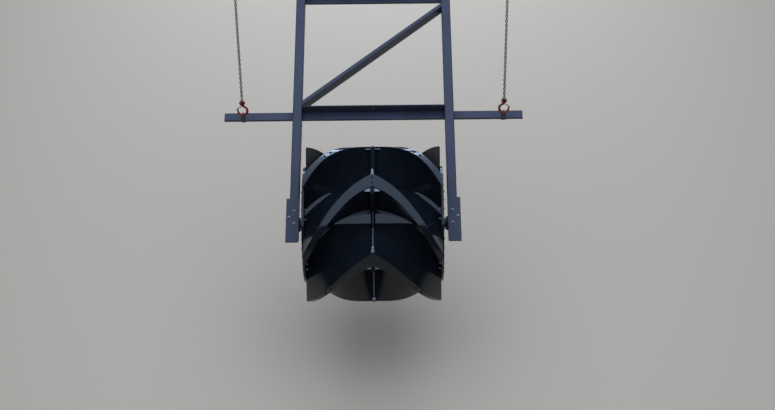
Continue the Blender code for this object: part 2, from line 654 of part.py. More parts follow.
# The safety latch spans from the hook's neck to the end of its point.
def latch(side, sign, steel, chain):
    point = hook_place(sign, *HOOK_POINT)
    neck = hook_place(sign, *HOOK_BACK[-1])
    rise = math.radians(BOWL_START)
    bend = hook_place(sign, HOOK_BOWL * math.cos(rise), HOOK_BOWL * math.sin(rise))
    over = (point - bend).normalized()
    up = (Vector((0.0, 0.0, CLEVIS_FOOT)) - neck).normalized()
    outward = Vector((sign * over.z, 0.0, -sign * over.x))
    inward = Vector((sign * up.z, 0.0, -sign * up.x))
    tip = point + over * LATCH_GAP + outward * HOOK_WIRE / 2.0
    root = neck + inward * (HOOK_WIRE + LATCH_GAP)
    corners = (tip, tip + over * LATCH_HEIGHT, root + up * LATCH_HEIGHT, root)
    outline = [(corner.x, corner.z) for corner in corners]
    shape = prism(outline, -LATCH_THICKNESS / 2.0, LATCH_THICKNESS / 2.0, axes="XZY")
    place(f"hook_latch_{side}", shape, steel, chain)


# The chain stands as a bar of crossed flats, as wide and as thick as its links.
def chain_run(side, steel, chain):
    low = CLEVIS_TOP + SEAT_GAP
    wide = CHAIN_WIDTH / 2.0
    thin = CHAIN_WIRE / 2.0
    outline = [(thin, thin), (thin, wide), (-thin, wide), (-thin, thin), (-wide, thin), (-wide, -thin),
               (-thin, -thin), (-thin, -wide), (thin, -wide), (thin, -thin), (wide, -thin), (wide, thin)]
    place(f"chain_{side}", prism(outline, low, low + CHAIN_LENGTH, axes="XYZ"), steel, chain)


def top_ring(side, steel, chain):
    low = CLEVIS_TOP + SEAT_GAP + CHAIN_LENGTH + SEAT_GAP
    centre = low + RING_WIRE + RING_BEND
    shape = bmesh.new()
    rings = []
    for turn in range(ROUND_FACETS):
        angle = math.tau * turn / ROUND_FACETS
        out = Vector((math.cos(angle), 0.0, math.sin(angle)))
        ring = []
        for step in range(WIRE_FACETS):
            round_angle = math.tau * step / WIRE_FACETS
            offset = out * math.cos(round_angle) + Vector((0.0, 1.0, 0.0)) * math.sin(round_angle)
            ring.append(shape.verts.new(Vector((0.0, 0.0, centre)) + out * RING_BEND + offset * RING_WIRE))
        rings.append(ring)
    for turn in range(ROUND_FACETS):
        after = rings[(turn + 1) % ROUND_FACETS]
        for step in range(WIRE_FACETS):
            beside = (step + 1) % WIRE_FACETS
            shape.faces.new((rings[turn][step], rings[turn][beside], after[beside], after[step]))
    place(f"hoist_ring_{side}", shape, steel, chain, smooth=True)


def build():
    clear_scene()
    frame_paint = finish("frame_paint", (0.060, 0.070, 0.095), 0.42, 0.0)
    rotor_paint = finish("rotor_paint", (0.012, 0.014, 0.020), 0.25, 0.0)
    sill_paint = finish("sill_paint", (0.085, 0.095, 0.110), 0.50, 0.0)
    shaft_steel = finish("shaft_steel", (0.45, 0.45, 0.46), 0.35, 1.0)
    bearing_iron = finish("bearing_iron", (0.030, 0.034, 0.042), 0.55, 0.0)
    hook_paint = finish("hook_paint", (0.32, 0.07, 0.025), 0.55, 0.0)
    chain_steel = finish("chain_steel", (0.30, 0.29, 0.27), 0.50, 1.0)

    sill_beam(sill_paint)
    frame = empty("frame_swing_axis", (0.0, 0.0, PIVOT_HEIGHT), SLOPE)
    rotor = empty("rotor_axis", (0.0, -PIVOT_TO_AXLE, 0.0), -SLOPE, frame)
    chain_bar(frame_paint, frame)
    crossbar("crossbar_middle", MIDDLE_CROSSBAR, frame_paint, frame)
    crossbar("crossbar_upper", UPPER_CROSSBAR, frame_paint, frame)
    brace("brace_lower", 1.0, LOWER_CROSSBAR, MIDDLE_CROSSBAR, frame_paint, frame)
    brace("brace_upper", -1.0, MIDDLE_CROSSBAR, UPPER_CROSSBAR, frame_paint, frame)
    for side, sign in (("left", -1.0), ("right", 1.0)):
        pivot_bracket(side, sign, sill_paint, shaft_steel)
        arm(side, sign, frame_paint, frame)
        pivot_eye(side, sign, frame_paint, frame)
        lug(side, sign, frame_paint, frame)
        shackle(side, sign, chain_steel, frame)
        saddle(side, sign, frame_paint, frame)
        bearing(side, sign, bearing_iron, frame)
        side_disc(side, sign, rotor_paint, rotor)
        lift = SHACKLE_BOW - SHACKLE_WIRE - HOOK_WIRE - HOOK_GAP
        hinge = (sign * LUG_REACH, LUG_MIDDLE + lift * math.sin(SLOPE),
                 LUG_HOLE + SHACKLE_RISE + lift * math.cos(SLOPE))
        chain = empty(f"chain_axis_{side}", hinge, -SLOPE, frame)
        hook(side, sign, hook_paint, chain)
        latch(side, sign, chain_steel, chain)
        chain_run(side, chain_steel, chain)
        top_ring(side, chain_steel, chain)
    axle(shaft_steel, rotor)
    drum(rotor_paint, rotor)
    centre_ring(rotor_paint, rotor)
    for number in range(BLADE_COUNT):
        blade(number, rotor_paint, rotor)
    bpy.context.view_layer.update()


build()
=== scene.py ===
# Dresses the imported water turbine: a rotor with V-shaped blades on a swing frame that hangs from two hoist chains.
# The rotor is wet black enamel and the frame weathered blue-grey machinery paint.
# Blades, frame members, hooks, chains and fastenings are modelled here in the places of the CAD solids.

import json
import math
import random

import bmesh
import bpy
from mathutils import Matrix, Vector


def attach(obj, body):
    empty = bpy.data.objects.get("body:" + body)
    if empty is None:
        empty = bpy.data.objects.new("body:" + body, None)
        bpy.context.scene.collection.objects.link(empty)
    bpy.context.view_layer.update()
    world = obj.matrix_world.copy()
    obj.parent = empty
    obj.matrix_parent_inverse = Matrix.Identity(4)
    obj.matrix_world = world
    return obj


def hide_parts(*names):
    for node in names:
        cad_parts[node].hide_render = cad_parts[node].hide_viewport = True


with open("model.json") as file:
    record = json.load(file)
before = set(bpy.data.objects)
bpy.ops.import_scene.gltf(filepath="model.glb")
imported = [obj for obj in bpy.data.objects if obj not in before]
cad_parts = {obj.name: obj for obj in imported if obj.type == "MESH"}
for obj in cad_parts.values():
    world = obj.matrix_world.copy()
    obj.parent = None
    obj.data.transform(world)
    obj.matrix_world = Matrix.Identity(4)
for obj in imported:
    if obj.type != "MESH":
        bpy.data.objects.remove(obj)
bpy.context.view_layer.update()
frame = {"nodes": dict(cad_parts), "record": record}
nodes = frame["nodes"]
random.seed(7)

# places that every piece is set out from, in metres; on the swing frame y runs along the arms and z stands off them
swing = dict(
    slope=math.radians(25.3), pivotHeight=0.45, pivotToAxle=4.30, armInner=0.704, armOuter=0.794, armTop=0.080,
    armBottom=-0.040, armUpperEnd=-0.200, armLowerEnd=-4.549, endCut=0.1007, bars=(-3.00, -1.50, -0.27))
onSwing = Matrix.Translation((0, 0, swing["pivotHeight"])) @ Matrix.Rotation(swing["slope"], 4, "X")
axleCentre = onSwing @ Vector((0, -swing["pivotToAxle"], 0))
onRotor = Matrix.Translation(axleCentre)
inPlace = Matrix.Identity(4)
lowerBar, middleBar, upperBar = swing["bars"]
bothSides = (("left", -1), ("right", 1))


def nothing():
    if bpy.context.mode != "OBJECT":
        bpy.ops.object.mode_set(mode="OBJECT")
    bpy.ops.object.select_all(action="DESELECT")


def drop(*pieces):
    for piece in pieces:
        bpy.data.objects.remove(piece, do_unlink=True)


# makes one piece the only one selected and the active one
def only(piece):
    nothing()
    piece.select_set(True)
    bpy.context.view_layer.objects.active = piece


def newest(name):
    piece = bpy.context.object
    piece.name = name
    piece.data.name = name
    return piece


def applyPlace(piece):
    only(piece)
    bpy.ops.object.transform_apply(location=True, rotation=True, scale=True)
    return piece


# puts a mesh or a curve into the scene as a new object
def added(name, shape):
    piece = bpy.data.objects.new(name, shape)
    bpy.context.scene.collection.objects.link(piece)
    return piece


def fromMesh(name, points, lines, faces):
    mesh = bpy.data.meshes.new(name)
    mesh.from_pydata(points, lines, faces)
    return added(name, mesh)


def moved(piece, place):
    piece.data.transform(place)
    return piece


def block(name, low, high):
    nothing()
    middle = [(a + b) / 2 for a, b in zip(low, high)]
    size = [abs(b - a) for a, b in zip(low, high)]
    bpy.ops.mesh.primitive_cube_add(size=1, location=middle, scale=size)
    return applyPlace(newest(name))


# a round bar between two points
def rod(name, start, end, radius, around=24):
    nothing()
    run = Vector(end) - Vector(start)
    bpy.ops.mesh.primitive_cylinder_add(vertices=around, radius=radius, depth=run.length,
                                        location=(Vector(start) + Vector(end)) / 2,
                                        rotation=run.to_track_quat("Z", "Y").to_euler())
    return applyPlace(newest(name))


# goes into edit mode with only the wanted faces, edges or points selected
def edit(piece, kind, wanted):
    only(piece)
    bpy.ops.object.mode_set(mode="EDIT")
    bpy.ops.mesh.select_mode(type=kind)
    bpy.ops.mesh.select_all(action="DESELECT")
    shape = bmesh.from_edit_mesh(piece.data)
    if kind == "FACE":
        for face in shape.faces:
            face.select_set(wanted(face.normal))
    elif kind == "EDGE":
        for edge in shape.edges:
            edge.select_set(wanted(*[vert.co for vert in edge.verts]))
    else:
        for vert in shape.verts:
            vert.select_set(wanted(vert.co))
    shape.select_flush_mode()
    bmesh.update_edit_mesh(piece.data)


def editAll(piece):
    only(piece)
    bpy.ops.object.mode_set(mode="EDIT")
    bpy.ops.mesh.select_all(action="SELECT")


def leaveEdit():
    bpy.ops.object.mode_set(mode="OBJECT")


# turns the normals outwards; merges points that fall together first where that is asked
def faceOut(piece, merge=False):
    editAll(piece)
    if merge:
        bpy.ops.mesh.remove_doubles(threshold=1e-5)
    bpy.ops.mesh.normals_make_consistent(inside=False)
    leaveEdit()


def modify(piece, kind, **settings):
    only(piece)
    modifier = piece.modifiers.new(kind.lower(), kind)
    for key, value in settings.items():
        setattr(modifier, key, value)
    bpy.ops.object.modifier_apply(modifier=modifier.name)
    return piece


# shades smooth, with large flats kept flat right up to their rounded edges
def smooth(piece, angle=35):
    only(piece)
    bpy.ops.object.shade_smooth_by_angle(angle=math.radians(angle))
    return modify(piece, "WEIGHTED_NORMAL", mode="FACE_AREA", keep_sharp=True)


def soften(piece, width, segments=2, angle=40):
    modify(piece, "BEVEL", width=width, segments=segments, limit_method="ANGLE", angle_limit=math.radians(angle))
    return smooth(piece)


# rounds only the edges that run one way, as on rolled tube and bar, or those of them that are wanted
def roundAlong(piece, way, width, segments, wanted=lambda middle: True):
    way = Vector(way).normalized()
    edit(piece, "EDGE", lambda first, second: abs((first - second).normalized().dot(way)) > 0.99
         and wanted((first + second) / 2))
    bpy.ops.mesh.bevel(offset=width, segments=segments, affect="EDGES")
    leaveEdit()
    return piece


# cuts a piece with a closed tool
def carve(piece, tool):
    modify(piece, "BOOLEAN", operation="DIFFERENCE", solver="EXACT", object=tool)
    drop(tool)
    return piece


def joined(name, pieces):
    only(pieces[0])
    for piece in pieces:
        piece.select_set(True)
    if len(pieces) > 1:
        bpy.ops.object.join()
    return newest(name)


# copies of one piece, each with its own mesh, put in their places
def copies(name, master, places):
    return joined(name, [moved(added(name, master.data.copy()), place) for place in places])


# a flat outline pushed to a thickness: the outline is in the first two of the axes
def plate(name, outline, low, high, axes="YZX"):
    first, second, third = ["XYZ".index(letter) for letter in axes]
    points = []
    for a, b in outline:
        point = [0.0, 0.0, 0.0]
        point[first], point[second], point[third] = a, b, low
        points.append(point)
    piece = fromMesh(name, points, [], [range(len(points))])
    push = [0.0, 0.0, 0.0]
    push[third] = high - low
    editAll(piece)
    bpy.ops.mesh.extrude_region_move(TRANSFORM_OT_translate=dict(value=push))
    faceOut(piece)
    return piece


# a closed profile of (x, radius) points spun once round the X axis
def lathe(name, profile, steps, angle=30):
    count = len(profile)
    piece = fromMesh(name, [(a, 0, r) for a, r in profile], [(i, (i + 1) % count) for i in range(count)], [])
    editAll(piece)
    bpy.ops.mesh.spin(steps=steps, angle=math.tau, center=(0, 0, 0), axis=(1, 0, 0))
    faceOut(piece, True)
    return smooth(piece, angle)


# both halves of a turned profile that is given from its end to its middle
def mirrored(half):
    return [(-along, radius) for along, radius in half] + [(along, radius) for along, radius in reversed(half)]


# a round bar bent along points, which may swell and taper
def wire(name, points, radius, swell=None, around=4, closed=False):
    curve = bpy.data.curves.new(name, "CURVE")
    curve.dimensions = "3D"
    spline = curve.splines.new("POLY")
    spline.points.add(len(points) - 1)
    for place, (dot, point) in enumerate(zip(spline.points, points)):
        dot.co = (*point, 1.0)
        dot.radius = swell[place] if swell else 1.0
    spline.use_cyclic_u = closed
    curve.bevel_depth = radius
    curve.bevel_resolution = around
    curve.use_fill_caps = True
    only(added(name, curve))
    bpy.ops.object.convert(target="MESH")
    piece = newest(name)
    faceOut(piece, True)
    return smooth(piece, 40)


def arc(centre, radius, start, end, steps):
    turns = [math.radians(start + (end - start) * step / steps) for step in range(steps + 1)]
    return [(centre[0] + radius * math.cos(turn), centre[1] + radius * math.sin(turn)) for turn in turns]


# a merged copy of a CAD solid with its edges broken
def refined(name, nodeName, width, segments=2):
    piece = added(name, nodes[nodeName].data.copy())
    editAll(piece)
    bpy.ops.mesh.remove_doubles(threshold=1e-5)
    bpy.ops.mesh.dissolve_limited(angle_limit=math.radians(0.5))
    leaveEdit()
    return soften(piece, width, segments)


# the last step of each piece: its place, finish, body and the CAD node that it stands for
def seat(piece, place, finish, body, slot, *stoodFor):
    moved(piece, place).data.materials.clear()
    piece.data.materials.append(finish)
    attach(piece, body)
    if stoodFor:
        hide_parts(*stoodFor)


# sRGB hex to the linear values that a shader takes
def linear(code):
    channels = [int(code[place:place + 2], 16) / 255 for place in (1, 3, 5)]
    return tuple(c / 12.92 if c <= 0.04045 else ((c + 0.055) / 1.055) ** 2.4 for c in channels) + (1.0,)


# adds a node with its settings; an input that is given a socket is linked to it
def addNode(tree, kind, inputs=None, **settings):
    made = tree.nodes.new(kind)
    for key, value in settings.items():
        setattr(made, key, value)
    for key, value in (inputs or {}).items():
        if isinstance(value, bpy.types.NodeSocket):
            tree.links.new(value, made.inputs[key])
        else:
            made.inputs[key].default_value = value
    return made


# noise whose grain is given in millimetres
def noise(tree, place, grainMm, detail, roughness=0.5, distortion=0.0):
    return addNode(tree, "ShaderNodeTexNoise", {"Vector": place, "Scale": 1000 / grainMm, "Detail": detail,
                                                "Roughness": roughness, "Distortion": distortion}).outputs[0]


# carries a value from one range to another and holds it at the ends
def ranged(tree, value, start, end, low=0.0, high=1.0):
    return addNode(tree, "ShaderNodeMapRange", {"Value": value, "From Min": start, "From Max": end,
                                                "To Min": low, "To Max": high}).outputs[0]


# lays one colour over another by a share; a colour is a socket or an sRGB hex
def over(tree, share, below, above):
    below, above = [linear(colour) if isinstance(colour, str) else colour for colour in (below, above)]
    return addNode(tree, "ShaderNodeMix", {0: share, 6: below, 7: above}, data_type="RGBA").outputs[2]


# relief of a height in metres, on top of other relief if there is any
def relief(tree, height, strength, distance, below=None, invert=False):
    inputs = {"Height": height, "Strength": strength, "Distance": distance}
    if below is not None:
        inputs["Normal"] = below
    return addNode(tree, "ShaderNodeBump", inputs, invert=invert).outputs[0]


def stretched(tree, place, turn, scale):
    return addNode(tree, "ShaderNodeMapping", {"Vector": place, "Rotation": turn, "Scale": scale}).outputs[0]


def newFinish(name):
    finish = bpy.data.materials.new(name)
    finish.use_nodes = True
    tree = finish.node_tree
    place = addNode(tree, "ShaderNodeTexCoord").outputs["Object"]
    return finish, tree, tree.nodes["Principled BSDF"].inputs, place


# paint on steel: a flowed coat, run-down streaks, a dried film, and nicks to rust, each sized in millimetres
def paintedSteel(name, look):
    finish, tree, surface, place = newFinish(name)
    broad = noise(tree, place, look["patchMm"], 5.0)
    coat = over(tree, ranged(tree, broad, 0.35, 0.65), look["coat"], look["coatWorn"])

    # streaks are drawn out along the way that water runs off the piece
    lean = stretched(tree, place, look["streakTurn"], look["streakScale"])
    runs = noise(tree, lean, look["streakMm"], 4.0, 0.6)
    streak = ranged(tree, runs, look["streakFrom"], look["streakFrom"] + 0.16, 0.0, look["streakShare"])
    streaked = over(tree, streak, coat, look["grime"])

    # silt and algae dry to a second, patchy film
    patches = noise(tree, place, look["filmMm"], 7.0, 0.65, 0.6)
    film = ranged(tree, patches, look["filmFrom"], look["filmFrom"] + 0.15, 0.0, look["filmShare"])
    filmed = over(tree, film, streaked, look["film"])

    # nicks sit thickest on sharp edges, where a rounded normal parts from the true one
    nick = noise(tree, place, look["chipMm"], 8.0, 0.7)
    rounded = addNode(tree, "ShaderNodeBevel", {"Radius": look["edgeMm"] / 1000}, samples=4).outputs[0]
    normal = addNode(tree, "ShaderNodeNewGeometry").outputs["Normal"]
    facing = addNode(tree, "ShaderNodeVectorMath", {0: rounded, 1: normal}, operation="DOT_PRODUCT").outputs["Value"]
    edge = ranged(tree, facing, 0.995, 0.85, 0.0, look["edgeWear"])
    chance = addNode(tree, "ShaderNodeMath", {0: nick, 1: edge}, operation="ADD").outputs[0]
    chip = ranged(tree, chance, look["chipFrom"], look["chipFrom"] + 0.03)
    rust = over(tree, nick, look["rustDark"], look["rust"])
    halo = ranged(tree, chance, look["chipFrom"] - 0.07, look["chipFrom"], 0.0, 0.35)
    stained = over(tree, halo, filmed, look["rustDark"])
    tree.links.new(over(tree, chip, stained, rust), surface["Base Color"])

    # a wet coat is smooth, a dried film or rust is matt
    rough = ranged(tree, broad, 0.3, 0.7, look["gloss"], look["glossWorn"])
    for share, extra in ((streak, 0.25), (film, 0.30)):
        rough = addNode(tree, "ShaderNodeMath", {0: share, 1: extra, 2: rough}, operation="MULTIPLY_ADD").outputs[0]
    rough = addNode(tree, "ShaderNodeMix", {0: chip, 2: rough, 3: 0.85}, data_type="FLOAT").outputs[0]
    tree.links.new(rough, surface["Roughness"])
    surface["Specular IOR Level"].default_value = look["specular"]

    # the coat's waviness and its orange peel, and the step down into a chip
    wavy = relief(tree, noise(tree, place, look["waveMm"], 2.0), look["waveStrength"], 0.002)
    peeled = relief(tree, noise(tree, place, look["peelMm"], 3.0), look["peelStrength"], 0.0004, wavy)
    tree.links.new(relief(tree, chip, 0.5, 0.0006, peeled, True), surface["Normal"])
    return finish


# bare metal with its tool marks, tarnish and first rust
def bareMetal(name, look):
    finish, tree, surface, place = newFinish(name)
    broad = noise(tree, place, look["patchMm"], 6.0, 0.6)
    base = over(tree, ranged(tree, broad, 0.38, 0.62), look["metal"], look["dull"])
    spots = noise(tree, place, look["spotMm"], 8.0, 0.7)
    rust = ranged(tree, spots, look["rustFrom"], look["rustFrom"] + 0.08)
    tree.links.new(over(tree, rust, base, look["rust"]), surface["Base Color"])
    tree.links.new(ranged(tree, rust, 0.0, 1.0, look["metallic"], 0.1), surface["Metallic"])
    tree.links.new(ranged(tree, spots, 0.3, 0.7, look["smooth"], look["coarse"]), surface["Roughness"])
    lines = noise(tree, stretched(tree, place, (0, 0, 0), look["lineScale"]), look["lineMm"], 3.0)
    tree.links.new(relief(tree, lines, look["lineStrength"], 0.0005), surface["Normal"])
    return finish


# two-pack epoxy enamel, rolled onto plate and wet: deep blue-black, and mirror-like where water films it
enamelLook = dict(
    coat="#161a20", coatWorn="#1b1f25", grime="#15181d", film="#151a12", rust="#5a2f1a", rustDark="#1f1510",
    patchMm=260, streakMm=55, streakTurn=(0, 0, 0), streakScale=(1, 0.25, 0.25), streakFrom=0.56, streakShare=0.2,
    filmMm=320, filmFrom=0.62, filmShare=0.25, chipMm=26, chipFrom=0.82, edgeMm=4, edgeWear=0.14, gloss=0.07,
    glossWorn=0.15, specular=0.37, peelMm=9, peelStrength=0.06, waveMm=140, waveStrength=0.05)
wetEnamel = paintedSteel("wetBlackEpoxyEnamel", enamelLook)
# the same coat gone matt on the bars, where debris rubs it: no sheen left on them
mattEnamel = paintedSteel("rubbedDarkEnamel", dict(enamelLook, specular=0.10, gloss=0.5, glossWorn=0.65))
# alkyd machinery paint, sprayed on rolled steel and left out: blue-grey, chalked, with rust at nicks and welds
framePaintLook = dict(
    coat="#3b3b49", coatWorn="#424352", grime="#46494c", film="#42453d", rust="#6b3a20", rustDark="#2a1b14",
    patchMm=380, streakMm=40, streakTurn=(swing["slope"], 0, 0), streakScale=(1, 0.12, 1), streakFrom=0.55,
    streakShare=0.5, filmMm=210, filmFrom=0.58, filmShare=0.6, chipMm=22, chipFrom=0.78, edgeMm=3, edgeWear=0.16,
    gloss=0.28, glossWorn=0.45, specular=0.26, peelMm=6, peelStrength=0.15, waveMm=200, waveStrength=0.05)
framePaint = paintedSteel("weatheredBlueGreyMachineryPaint", framePaintLook)
# the same paint on the sill, greyer and dustier, since nothing rinses it
sillPaint = paintedSteel("dustyGreySillPaint", dict(
    framePaintLook, coat="#2a2f36", coatWorn="#363b41", grime="#55554f", film="#4a4c3e", streakTurn=(0, 0, 0),
    streakScale=(1, 1, 0.15), gloss=0.42, glossWorn=0.6, chipFrom=0.75))
# cast iron housings under a brushed coat: the grain of the sand mould shows through
castPaint = paintedSteel("brushedPaintOnCastIron", dict(
    framePaintLook, coat="#14171c", coatWorn="#1b1f26", peelMm=2.6, peelStrength=0.5, gloss=0.38, glossWorn=0.55))
# drop-forged hooks in red-orange enamel, half gone to rust
hookPaint = paintedSteel("rustingRedOrangeHookEnamel", dict(
    coat="#8f2f1f", coatWorn="#a03c25", grime="#4a261d", film="#5b3026", rust="#6e3626", rustDark="#3a1d14",
    patchMm=30, streakMm=12, streakTurn=(0, 0, 0), streakScale=(1, 1, 0.3), streakFrom=0.52, streakShare=0.6,
    filmMm=24, filmFrom=0.5, filmShare=0.6, chipMm=7, chipFrom=0.64, edgeMm=2, edgeWear=0.16, gloss=0.35,
    glossWorn=0.6, specular=0.4, peelMm=1.8, peelStrength=0.5, waveMm=20, waveStrength=0.3))
# steel turned on a lathe and oiled: fine rings round the axis and a blue-brown bloom
turnedSteel = bareMetal("turnedShaftSteel", dict(
    metal="#8f8f92", dull="#6a6864", rust="#5a3a28", patchMm=40, spotMm=12, rustFrom=0.64, metallic=1.0,
    smooth=0.22, coarse=0.42, lineScale=(1, 0.02, 0.02), lineMm=1.6, lineStrength=0.35))
# hot-dip galvanised fastenings: pale grey spangle gone dull, first rust in spots
zincLook = dict(
    metal="#a5a8ab", dull="#6f7274", rust="#6b4a36", patchMm=9, spotMm=6, rustFrom=0.62, metallic=0.9, smooth=0.38,
    coarse=0.62, lineScale=(1, 1, 1), lineMm=3, lineStrength=0.25)
zincSteel = bareMetal("galvanisedFastening", zincLook)
# zinc with a chalky white film over the grey and hardly any shine left: on the stud and nut this is the zinc's own
# colour, but on the corner plates and the skin's centre seam the pale colour is a painted glint that stands in for
# the bright reflection there
zincWithPaintedGlint = bareMetal("paleZincAndPaintedGlint", dict(zincLook, metal="#b8babd", dull="#9b9ea2", metallic=0.35, smooth=0.5,
                                             coarse=0.75))
# welded hoist chain, galvanised long ago: dull brown-grey with rust where the links rub
chainSteel = bareMetal("dullGalvanisedChain", dict(zincLook, metal="#77756f", dull="#4d4b47", rust="#5e3d2a",
                                                   rustFrom=0.54, smooth=0.45, coarse=0.7))
finishOf = dict(
    frame_paint=framePaint, rotor_paint=wetEnamel, sill_paint=sillPaint, shaft_steel=turnedSteel,
    bearing_iron=castPaint, hook_paint=hookPaint, chain_steel=chainSteel)
for row in frame["record"]["subparts"]:
    for spot in nodes[row["node"]].material_slots:
        spot.material = finishOf[row["material_slot"]]

# what seat takes for the usual pieces: place, finish, body and slot
rotorSteel = (onRotor, wetEnamel, "rotor", "rotor_paint")
rotorZinc = (onRotor, zincSteel, "rotor", "chain_steel")
frameSteel = (onSwing, framePaint, "swing_frame", "frame_paint")
frameZinc = (onSwing, zincSteel, "swing_frame", "chain_steel")
sillSteel = (inPlace, sillPaint, "foundation", "sill_paint")
sillZinc = (inPlace, zincSteel, "foundation", "chain_steel")
print("materials ready")

# hexagon bolt with washer and the end of its thread; it stands on the XY plane
fastening = dict(
    acrossFlats=0.024, headHeight=0.010, washerRadius=0.0175, washerThickness=0.003, chamfer=0.0018, chamferRise=0.6,
    stubRadius=0.0075, stubHeight=0.015, scales=(1.0, 0.8, 0.62))


def hexagonBolt(scale):
    base = fastening["washerThickness"]
    washer = rod("washer", (0, 0, 0), (0, 0, base), fastening["washerRadius"], 20)
    head = rod("head", (0, 0, base), (0, 0, base + fastening["headHeight"]),
               fastening["acrossFlats"] / math.sqrt(3), 6)
    edit(head, "FACE", lambda normal: normal.z > 0.9)
    bpy.ops.mesh.inset(thickness=fastening["chamfer"])
    bpy.ops.transform.translate(value=(0, 0, fastening["chamfer"] * fastening["chamferRise"]))
    leaveEdit()
    stub = rod("stub", (0, 0, base), (0, 0, base + fastening["stubHeight"]), fastening["stubRadius"], 14)
    return moved(joined("boltMaster", [washer, head, stub]), Matrix.Scale(scale, 4))


# turns a bolt's own Z to a direction and puts it at a point
def standing(point, direction):
    turn = Vector(direction).to_track_quat("Z", "Y").to_matrix().to_4x4()
    return Matrix.Translation(point) @ turn @ Matrix.Rotation(random.uniform(0, math.tau), 4, "Z")


largeBolt, middleBolt, smallBolt = [hexagonBolt(scale) for scale in fastening["scales"]]


def bolts(name, master, spots, *setup):
    seat(copies(name, master, [standing(*spot) for spot in spots]), *setup)


# a weld run: one ripple of the bead, repeated along the corner that it fills
bead = dict(radius=0.0042, ripple=0.008, swell=1.25, crest=0.6)


def weldRun(start, end):
    run = Vector(end) - Vector(start)
    count = max(2, round(run.length / bead["ripple"]))
    ripple = run.length / count
    crest = ripple * bead["crest"]
    nothing()
    bpy.ops.mesh.primitive_cylinder_add(vertices=7, radius=bead["radius"], depth=ripple,
                                        location=(0, 0, ripple / 2), end_fill_type="NOTHING")
    piece = applyPlace(newest("weldRipple"))
    editAll(piece)
    bpy.ops.mesh.bisect(plane_co=(0, 0, crest), plane_no=(0, 0, 1))
    leaveEdit()
    edit(piece, "VERT", lambda point: abs(point.z - crest) < 1e-4)
    bpy.ops.transform.resize(value=(bead["swell"], bead["swell"], 1), center_override=(0, 0, crest))
    leaveEdit()
    modify(piece, "ARRAY", count=count, use_relative_offset=False, use_constant_offset=True,
           constant_offset_displace=(0, 0, ripple), use_merge_vertices=True, merge_threshold=1e-5)
    for height in (0.0, run.length):
        edit(piece, "VERT", lambda point: abs(point.z - height) < 1e-4)
        bpy.ops.mesh.edge_face_add()
        leaveEdit()
    faceOut(piece)
    turn = run.to_track_quat("Z", "Y").to_matrix().to_4x4()
    return smooth(moved(piece, Matrix.Translation(start) @ turn), 60)


def welds(name, lines, *setup):
    seat(joined(name, [weldRun(start, end) for start, end in lines]), *setup)


# a point of the rotor: along its axle, out from it, and degrees up from the line of the viewer
rotor = dict(radius=0.730, halfWidth=0.6294, viewTilt=33.4, drumRadius=0.340, drumInside=0.330, blades=6)


def rotorPoint(along, radius, angle):
    turn = math.radians(angle + rotor["viewTilt"])
    return Vector((along, -radius * math.cos(turn), radius * math.sin(turn)))


# sheet laid over x from one side of the rotor to the other, then thickened and its edges broken
def curvedSheet(name, columns, rows, placeOf, thickness, edge):
    nothing()
    bpy.ops.mesh.primitive_grid_add(x_subdivisions=columns, y_subdivisions=rows, size=2)
    piece = newest(name)
    for vert in piece.data.vertices:
        vert.co = placeOf(vert.co.x, (vert.co.y + 1) / 2)
    modify(piece, "SOLIDIFY", thickness=thickness, offset=0, use_even_offset=True)
    faceOut(piece)
    return soften(piece, edge, 2, 60)


# one V-shaped blade, a closed wedge of plate, curved lip, flat back skin and root flange, with a bar down its middle;
# lips and roots sweep back by degrees that grow with the share of the half width, its square and its cube
blade = dict(
    lipApex=27.2, rootApex=23.0, lipSweep=(20.9, 33.9, 4.7), rootSweep=(19.6, 28.4, 16.0), lipEnd=(0.70, 0.22, 0.8),
    plateThickness=0.010, plateRound=0.014, lipWaist=0.106, lipWaistAt=0.60, lipFlareIn=0.032, lipFlareOut=0.026,
    lipThickness=0.010, lipEdge=0.0022, flangeWidth=0.056, flangeThickness=0.008, flangeSunk=0.003, flangeTilt=0.018,
    tiltFrom=0.55, tiltOver=0.12, rootRadius=0.3409, ringRadius=0.406, barHalf=0.019, barDepthLow=0.036,
    barDepthHigh=0.074, barTop=0.724, barEdge=0.0025, plateEdge=0.001, sheetEdge=0.0015, inset=0.002)
skin = dict(thickness=0.008, rear=59.5, sunk=0.001, seamRadius=0.0032)
# how much of the next blade's root flange the back skin leaves in view, in degrees, where that grows, and the
# step up onto the flange
lap = dict(least=2.6, most=8.0, start=0.56, slope=26.0, ramp=1.5, step=0.003)


# rises gently from 0 at the start to 1 at the end of a length
def ease(value, start, length):
    turn = min(1.0, max(0.0, (value - start) / length))
    return turn * turn * (3 - 2 * turn)


def sweep(shares, portion):
    return shares[0] * portion + shares[1] * portion ** 2 + shares[2] * portion ** 3


# near the disc the lip turns away a little faster
def lipAngle(across):
    start, length, extra = blade["lipEnd"]
    return blade["lipApex"] - sweep(blade["lipSweep"], abs(across)) - extra * ease(abs(across), start, length)


def rootAngle(across):
    return blade["rootApex"] - sweep(blade["rootSweep"], abs(across))


def arcDegrees(length, radius):
    return math.degrees(length / radius)


def bladePlatePoint(across, rise):
    low, high = blade["rootRadius"] + blade["inset"], rotor["radius"] - blade["lipThickness"]
    half = blade["plateRound"] / 2
    along = across * rotor["halfWidth"]
    foot = rotorPoint(along, low, rootAngle(across) + arcDegrees(half, low))
    tip = rotorPoint(along, high, lipAngle(across) + arcDegrees(half, high))
    return foot.lerp(tip, rise)


# the lip has a waist between its apex and its ends, along its upper edge
def lipWidth(across):
    away = abs(across) - blade["lipWaistAt"]
    flare, length = ((blade["lipFlareIn"], blade["lipWaistAt"]) if away < 0 else
                     (blade["lipFlareOut"], 1 - blade["lipWaistAt"]))
    return blade["lipWaist"] + flare * (away / length) ** 2


def lipPoint(across, share):
    middle = rotor["radius"] - blade["lipThickness"] / 2
    return rotorPoint(across * rotor["halfWidth"], middle,
                      lipAngle(across) + share * arcDegrees(lipWidth(across), rotor["radius"]))


